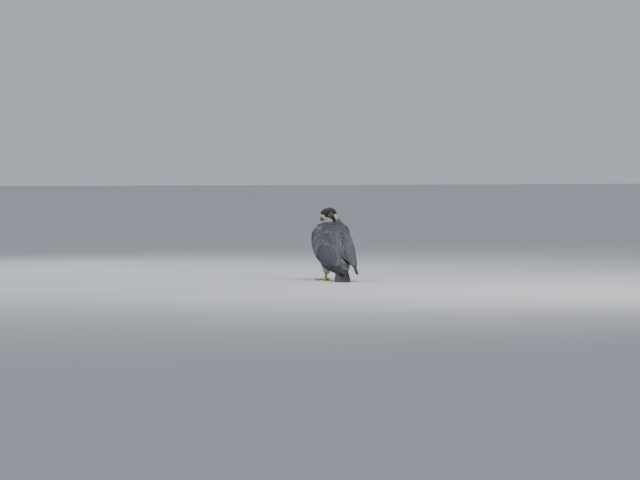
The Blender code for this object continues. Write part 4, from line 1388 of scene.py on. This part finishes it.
def joined(name, lofts, finishes, replaced=()):
    """Several lofts in one piece. Each is (points, faces, relief, number of its finish)."""
    points, faces, relief, worn, first = [], [], [], [], 0
    for p, f, r, which in lofts:
        points.append(p)
        relief.append(r)
        faces += [tuple(first + k for k in face) for face in f]
        worn += [which] * len(f)
        first += len(p)
    mesh = mesh_from(name, np.concatenate(points), faces)
    work = bmesh.new()
    work.from_mesh(mesh)
    bmesh.ops.recalc_face_normals(work, faces=work.faces)
    work.to_mesh(mesh)
    work.free()
    keep_numbers(mesh, "relief", np.concatenate(relief))
    piece = new_piece(name, mesh, *finishes)
    mesh.polygons.foreach_set("material_index", worn)
    if replaced:
        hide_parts(*replaced)
    print(name, len(points), "lofts", len(mesh.polygons), "faces")
    return piece


BILL_ROOT = np.array((0.0, -0.0240, -0.0018))
CERE_LENGTH = 0.0075
CERE_STATIONS = (
    (-0.0030, 0.0000, 0.0072, 0.0080, 0.00), (0.0000, 0.0000, 0.0076, 0.0086, 0.00), (0.0030, 0.0001, 0.0073, 0.0082, -0.05),
    (0.0060, 0.0001, 0.0064, 0.0073, -0.12), (CERE_LENGTH, 0.0000, 0.0058, 0.0066, -0.15),
)
HOOK_STATIONS = (
    (CERE_LENGTH + 0.0002, 0.0001, 0.0055, 0.0062, -0.15), (CERE_LENGTH + 0.0033, -0.0006, 0.0050, 0.0058, -0.35),
    (CERE_LENGTH + 0.0065, -0.0028, 0.0040, 0.0047, -0.75), (CERE_LENGTH + 0.0083, -0.0064, 0.0027, 0.0032, -1.20),
    (CERE_LENGTH + 0.0083, -0.0100, 0.0014, 0.0017, -1.60), (CERE_LENGTH + 0.0075, -0.0130, 0.00025, 0.0003, -1.75),
)
LOWER_BILL_STATIONS = (
    (-0.0100, -0.0078, 0.0072, 0.0040, -0.10), (0.0000, -0.0083, 0.0063, 0.0042, 0.00), (0.0060, -0.0080, 0.0049, 0.0038, 0.05),
    (0.0100, -0.0070, 0.0036, 0.0030, 0.15), (0.0126, -0.0066, 0.0018, 0.0018, 0.25), (0.0134, -0.0064, 0.0006, 0.0007, 0.30),
)


def bill_loft(stations, count, sides, shape):
    """Leaning rings, reshaped by a function of how far along they are and of the angle round them."""
    rings, relief = [], []
    for u, (ahead, z, wide, high, lean) in zip(np.linspace(0, 1, count), through(stations, count)):
        turn = np.arange(sides) * 2 * pi / sides
        out, up = wide * np.cos(turn), high * np.sin(turn)
        out, up = shape(u, turn, out, up)
        rings.append(np.stack([out, up * sin(lean) - ahead, z + up * cos(lean)], 1) + BILL_ROOT)
        relief.append(np.stack([np.full(sides, u), turn / (2 * pi), np.zeros(sides)], 1))
    return from_head(np.reshape(rings, (-1, 3))).reshape(count, sides, 3), relief


def hooked(u, turn, out, up):
    edge = np.clip(-np.sin(turn), 0, 1) * np.clip(abs(np.cos(turn)) * 1.6, 0, 1)
    tooth = 0.0016 * np.exp(-(((u - 0.44) / 0.045) ** 2)) - 0.0007 * np.exp(-(((u - 0.56) / 0.05) ** 2))
    ridge = 1 + 0.05 * np.exp(-((np.cos(turn) / 0.30) ** 2)) * (np.sin(turn) > 0)
    flat = 1 - 0.10 * np.clip(-np.sin(turn), 0, 1) ** 3 * (1 - ease(u, 0.75, 1.0))
    return out * (1 - 0.08 * edge - 0.16 * np.clip(np.sin(turn), 0, 1) ** 2), up * ridge * flat - tooth * edge


def swollen(u, turn, out, up):
    puff = 1 + 0.03 * sin(u * pi) - 0.04 * ease(u, 0.85, 1.0)
    return out * puff * (1 - 0.14 * np.clip(np.sin(turn), 0, 1) ** 2), up * puff


def scooped(u, turn, out, up):
    return out, np.where(up > 0, up * 0.8, up)


hook = loft_parts(*bill_loft(HOOK_STATIONS, 44, 32, hooked)) + (0,)
joined("upper_bill", [hook], [bill_horn], ["bill_upper"])
lower = loft_parts(*bill_loft(LOWER_BILL_STATIONS, 24, 24, scooped)) + (0,)
joined("lower_bill", [lower], [bill_horn], ["bill_lower"])

# %% [markdown]
# The nostril is a round rim with a hollow and a cone in its middle. It is too small to cut out of the cere, so
# the three are laid on it as tiny turned shapes, which looks the same from outside. The hollow is a flat dark disc in
# the claw horn finish: painted shade where the nostril's opening would be.

# %% Cere and nostrils
def turned(centre, axis, profile, sides, height):
    """A turned shape: the profile holds pairs of radius and height above the centre."""
    axis = unit(np.asarray(axis, float))
    across = unit(np.cross(axis, (0, 0, 1)))
    up = np.cross(across, axis)
    turn = np.arange(sides) * 2 * pi / sides
    around = across * np.cos(turn)[:, None] + up * np.sin(turn)[:, None]
    rings = [centre + around * radius + axis * rise for radius, rise in profile]
    relief = [np.tile((height, 0.5, 0.0), (sides, 1)) for _ in profile]
    return loft_parts(rings, relief)


cere_lofts = [loft_parts(*bill_loft(CERE_STATIONS, 26, 32, swollen)) + (0,)]
cere_lofts[0][2][:, 0] = 0.8
cere_lofts[0][2][:, 1] = 0.15
cere_surface = Surface(mesh_from("cere_probe", cere_lofts[0][0], cere_lofts[0][1]))
for mirror in (1, -1):
    probe = from_head(np.array([(0.010 * mirror, -0.0284, 0.0004)]))
    place, normal = cere_surface.nearest(probe)
    normal = np.where((normal * (probe - place)).sum() > 0, normal, -normal)[0]
    place = place[0]
    rim = [(0.0016, -0.0004), (0.0016, 0.0001), (0.0013, 0.00032), (0.00098, 0.0003), (0.0009, 0.0), (0.0009, -0.0005)]
    cere_lofts.append(turned(place, normal, rim, 20, 0.8) + (0,))
    # A flat dark disc in the second finish, the claw horn: painted shade in the nostril's hollow, where an opening
    # would be.
    cere_lofts.append(turned(place, normal, [(0.0010, -0.0003), (0.0010, 0.00005), (0.0002, 0.00006)], 20, 0.0) + (1,))
    cone = [(0.00042, -0.0002), (0.00040, 0.0001), (0.00026, 0.00028), (0.00008, 0.00034)]
    cere_lofts.append(turned(place, normal, cone, 12, 0.7) + (0,))
    corner = []
    for t in np.linspace(0, 1, 16):
        place, normal = outline.nearest(from_head(np.array([((0.0058 + 0.0016 * t) * mirror, -0.0290 + 0.0045 * t,
                                                             -0.0090 - 0.0012 * t)])))
        corner.append((place[0] - normal[0] * 0.0004, normal[0], 0.0008 * (1 - t**2) ** 0.5 + 0.0001))
    runs = unit(np.gradient(np.array([c[0] for c in corner]), axis=0))
    turn = np.arange(12) * 2 * pi / 12
    rings = []
    for (place, normal, radius), run in zip(corner, runs):
        across = unit(np.cross(run, normal))
        rings.append(place + across * (np.cos(turn) * radius)[:, None] + normal * (np.sin(turn) * radius * 0.8)[:, None])
    cere_lofts.append(loft_parts(rings, np.tile((0.8, 0.2, 0.0), (16 * 12, 1))) + (0,))
# The second finish, the dark claw horn, paints the shade in the nostril hollows.
joined("cere_and_nostrils", cere_lofts, [waxy, claw_horn], ["cere"])

# %% [markdown]
# ## Eyes and lids
# The eyeball is a ball with a slight bulge at the cornea. It looks outwards and a little forwards. Round it runs a ring
# of bare yellow skin with a dark lid margin on its inner side. The ring's inner edge lies on the ball and its outer
# edge on the head, so it closes the gap between them at every angle.

# %% Eyes and lids
turn = np.arange(48) * 2 * pi / 48
fits = np.linspace(0.0040, 0.0059, 39)[:, None]
lid = np.where(fits * np.sin(turn) < brow_line(fits * np.cos(turn)) - 0.0004, fits, 0.0040).max(0)
for _ in range(3):
    lid = (np.roll(lid, 1) + lid * 2 + np.roll(lid, -1)) / 4
for side, mirror in SIDES.items():
    forward = np.array((cos(GAZE) * mirror, -sin(GAZE), 0.04))
    axis = unit(forward @ HEAD_AXES.T)
    centre = middle("eye_" + side)
    up = unit(HEAD_AXES @ np.array((0, 0, 1.0)) - axis * (HEAD_AXES @ np.array((0, 0, 1.0)) @ axis))
    rear = np.cross(axis, up) * mirror
    sides, steps = 48, 30
    rings, relief = [], []
    for polar in np.linspace(0.02, pi - 0.02, steps):
        bulge = EYE_RADIUS * (1 + 0.035 * np.exp(-((polar / 0.55) ** 2)) - 0.004)
        around = rear * np.cos(turn)[:, None] + up * np.sin(turn)[:, None]
        rings.append(centre + (axis * cos(polar) + around * sin(polar)) * bulge)
        relief.append(np.stack([np.full(sides, polar), turn / (2 * pi), 0 * turn], 1))
    joined("eyeball_" + side, [loft_parts(rings, relief) + (0,)], [eye_finish], ["eye_" + side])

    opening = np.arcsin(lid / (EYE_RADIUS * 1.02))
    reach = 0.0076 + 0.0004 * np.cos(turn - 3.9) - 0.0010 * np.clip(np.sin(turn), 0, 1)
    around = rear * np.cos(turn)[:, None] + up * np.sin(turn)[:, None]
    inner = centre + (axis * np.cos(opening)[:, None] + around * np.sin(opening)[:, None]) * (EYE_RADIUS * 1.02)
    outer = []
    for way, far in zip(around, reach):
        hit = outline.tree.ray_cast(Vector(centre + way * far + axis * 0.015), Vector(-axis))
        outer.append(np.array(hit[0]) - axis * max(0, (np.array(hit[0]) - centre) @ axis - 0.0054))
    outer = np.array(outer)
    rings, relief = [], []
    for t, rise, tint in ((-0.25, -0.0009, 0), (0, -0.0003, 0), (0.08, 0.0, 0.2), (0.25, 0.00015, 1), (0.45, 0.0002, 0.8),
                          (0.62, 0.00015, 0.4), (0.80, 0.0, 0.9), (1.0, -0.0005, 0.6), (1.25, -0.0014, 0.5)):
        rings.append(inner + (outer - inner) * t + axis * rise)
        relief.append(np.tile((tint, 0.25, 0.0), (sides, 1)))
    ring = loft_parts(rings, relief, closed_ends=False)
    ring[1].extend((k, (k + 1) % sides, len(rings) * sides - sides + (k + 1) % sides, len(rings) * sides - sides + k)
                   for k in range(sides))
    dark = [1 if k < 2 * sides else 0 for k in range(len(ring[1]))]
    lids = joined("eye_ring_" + side, [ring + (0,)], [waxy, claw_horn])
    lids.data.polygons.foreach_set("material_index", dark)

# %% [markdown]
# ## Feet
# The shank and toes are bare. Small plates cover them all round, and broad ones run across the top of each toe. They
# are cast into the mesh itself: a tube is drawn along each toe, and a formula for rows of staggered plates raises its
# surface. Pads swell under the joints and lie flat on the ground. The bare skin is then joined to the skin of the body
# so that the bird has one skin from bill to claws.

# %% Scaled feet
FOOT_CENTRE = np.array((0.0355, 0.0005, 0.0))
MIDDLE_TOE = 0.046
TOES = {
    "middle": (radians(2), MIDDLE_TOE, 0.0040, 0.0150), "hind": (radians(172), MIDDLE_TOE * 0.50, 0.0042, 0.0190),
    "inner": (radians(-38), MIDDLE_TOE * 0.70, 0.0042, 0.0180), "outer": (radians(42), MIDDLE_TOE * 0.78, 0.0037, 0.0130),
}
SHANK_STATIONS = (
    (0.0335, 0.0140, 0.0480, 0.0046), (0.0340, 0.0130, 0.0400, 0.0044), (0.0345, 0.0110, 0.0310, 0.0040),
    (0.0350, 0.0075, 0.0210, 0.0040), (0.0352, 0.0040, 0.0125, 0.0049), (0.0354, 0.0015, 0.0075, 0.0064),
    (0.0355, 0.0005, 0.0040, 0.0066), (0.0355, 0.0002, 0.0012, 0.0058),
)


def plates(rows, columns):
    """The height of staggered plates, 0 in the furrows and 1 on the plates; rows and columns count plates."""
    column = columns + 0.5 * (np.floor(rows) % 2)
    a, b = (rows % 1 - 0.5) * 2, (column % 1 - 0.5) * 2
    return (1 - abs(a) ** 5) * (1 - abs(b) ** 5)


def foot_place(mirror, heading, reach, height):
    place = FOOT_CENTRE * (mirror, 1, 1) + SHIFT * (0, 1, 1)
    return place + np.array((sin(heading) * mirror * reach, -cos(heading) * reach, height))


def scaled_tube(centres, radii, sides, plate, relief_height):
    """Rings round a path, raised by plates and kept above the floor."""
    centres = np.asarray(centres)
    runs = unit(np.gradient(centres, axis=0))
    turn = np.arange(sides) * 2 * pi / sides
    rings, relief = [], []
    for centre, run, radius, row in zip(centres, runs, radii, plate):
        across = unit(np.cross(run, (0, 0, 1.0)))
        up = np.cross(across, run)
        grown_by = radius * row[1] + relief_height * row[0]
        ring = centre + (across * np.cos(turn)[:, None] + up * np.sin(turn)[:, None]) * grown_by[:, None]
        ring[:, 2] = np.maximum(ring[:, 2], 0.0)
        rings.append(ring)
        # The plate height is stored too, so that the skin's finish paints shade into the furrows between the plates.
        relief.append(np.stack([row[0], np.full(sides, 0.10), 0 * turn], 1))
    return loft_parts(rings, relief)


def toe_loft(mirror, heading, length, thick):
    sides, count = 36, 72
    turn = np.arange(sides) * 2 * pi / sides
    centres, radii, plate = [], [], []
    for u in np.linspace(0.004 / length, 1.02, count):
        pads = 1 + 0.17 * cos(u * 3 * 2 * pi)
        end = (1 - ease(u, 0.93, 1.04)) ** 0.5
        radii.append(thick * (1 - 0.26 * u) * max(end, 0.05) * 0.95)
        centres.append(foot_place(mirror, heading, length * u, thick * (0.84 - 0.20 * u)))
        on_top = ease(np.sin(turn), 0.25, 0.55)
        scutes = 1 - abs((u * length / 0.0021) % 1 - 0.5) ** 4 * 16
        small = plates(np.full(sides, u * length / 0.0014), turn / (2 * pi) * 15)
        below = np.clip(-np.sin(turn), 0, 1)
        plate.append((on_top * scutes + (1 - on_top) * small, 1 + (pads - 1) * (0.35 + 1.0 * below) - 0.05 * on_top))
    return scaled_tube(centres, radii, sides, plate, 0.00034)


def shank_loft(mirror):
    sides, count = 48, 96
    turn = np.arange(sides) * 2 * pi / sides
    read = through(SHANK_STATIONS, count)
    centres = read[:, :3] * (mirror, 1, 1) + SHIFT * (0, 1, 1)
    plate = [(plates(np.full(sides, (0.048 - z) / 0.0021), turn / (2 * pi) * 10), np.ones(sides)) for z in read[:, 2]]
    return scaled_tube(centres, read[:, 3], sides, plate, 0.00034)


foot_lofts = []
for side, mirror in SIDES.items():
    foot_lofts.append(shank_loft(mirror) + (0,))
    claws = []
    for name, (heading, length, thick, claw) in TOES.items():
        foot_lofts.append(toe_loft(mirror, heading, length, thick) + (0,))
        rings, relief = [], []
        turn = np.arange(16) * 2 * pi / 16
        path = []
        for u in np.linspace(0, 1, 26):
            reach = length * 0.955 + claw * 0.75 * sin(u * pi / 2)
            height = thick * 0.98 + (thick * 0.10 - thick * 0.98) * u**1.6 + claw * 0.17 * sin(u * pi * 0.92)
            path.append(foot_place(mirror, heading, reach, height))
        runs = unit(np.gradient(np.array(path), axis=0))
        for u, centre, run in zip(np.linspace(0, 1, 26), path, runs):
            across = unit(np.cross(run, (0, 0, 1.0)))
            up = np.cross(across, run)
            radius = thick * 0.64 * (1 - u) ** 0.72 + 0.00012
            ring = centre + across * (np.cos(turn) * radius * 0.86)[:, None] + up * (np.sin(turn) * radius * 1.08)[:, None]
            ring[:, 2] = np.maximum(ring[:, 2], 0.0002)
            rings.append(ring)
            relief.append(np.stack([np.full(16, u), turn / (2 * pi), 0 * turn], 1))
        claws.append(loft_parts(rings, relief) + (0,))
    joined("claws_" + side, claws, [claw_horn], [f"claw_{name}_{side}" for name in TOES])
feet = joined("bare_feet", foot_lofts, [waxy])
for obj in bpy.context.selected_objects:
    obj.select_set(False)
feet.select_set(True)
skin.select_set(True)
bpy.context.view_layer.objects.active = skin
bpy.ops.object.join()
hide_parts(*[f"{part}_{side}" for side in SIDES for part in ["shank"] + ["toe_" + t for t in TOES]])
print("skin", len(skin.data.vertices), "points with its feet")
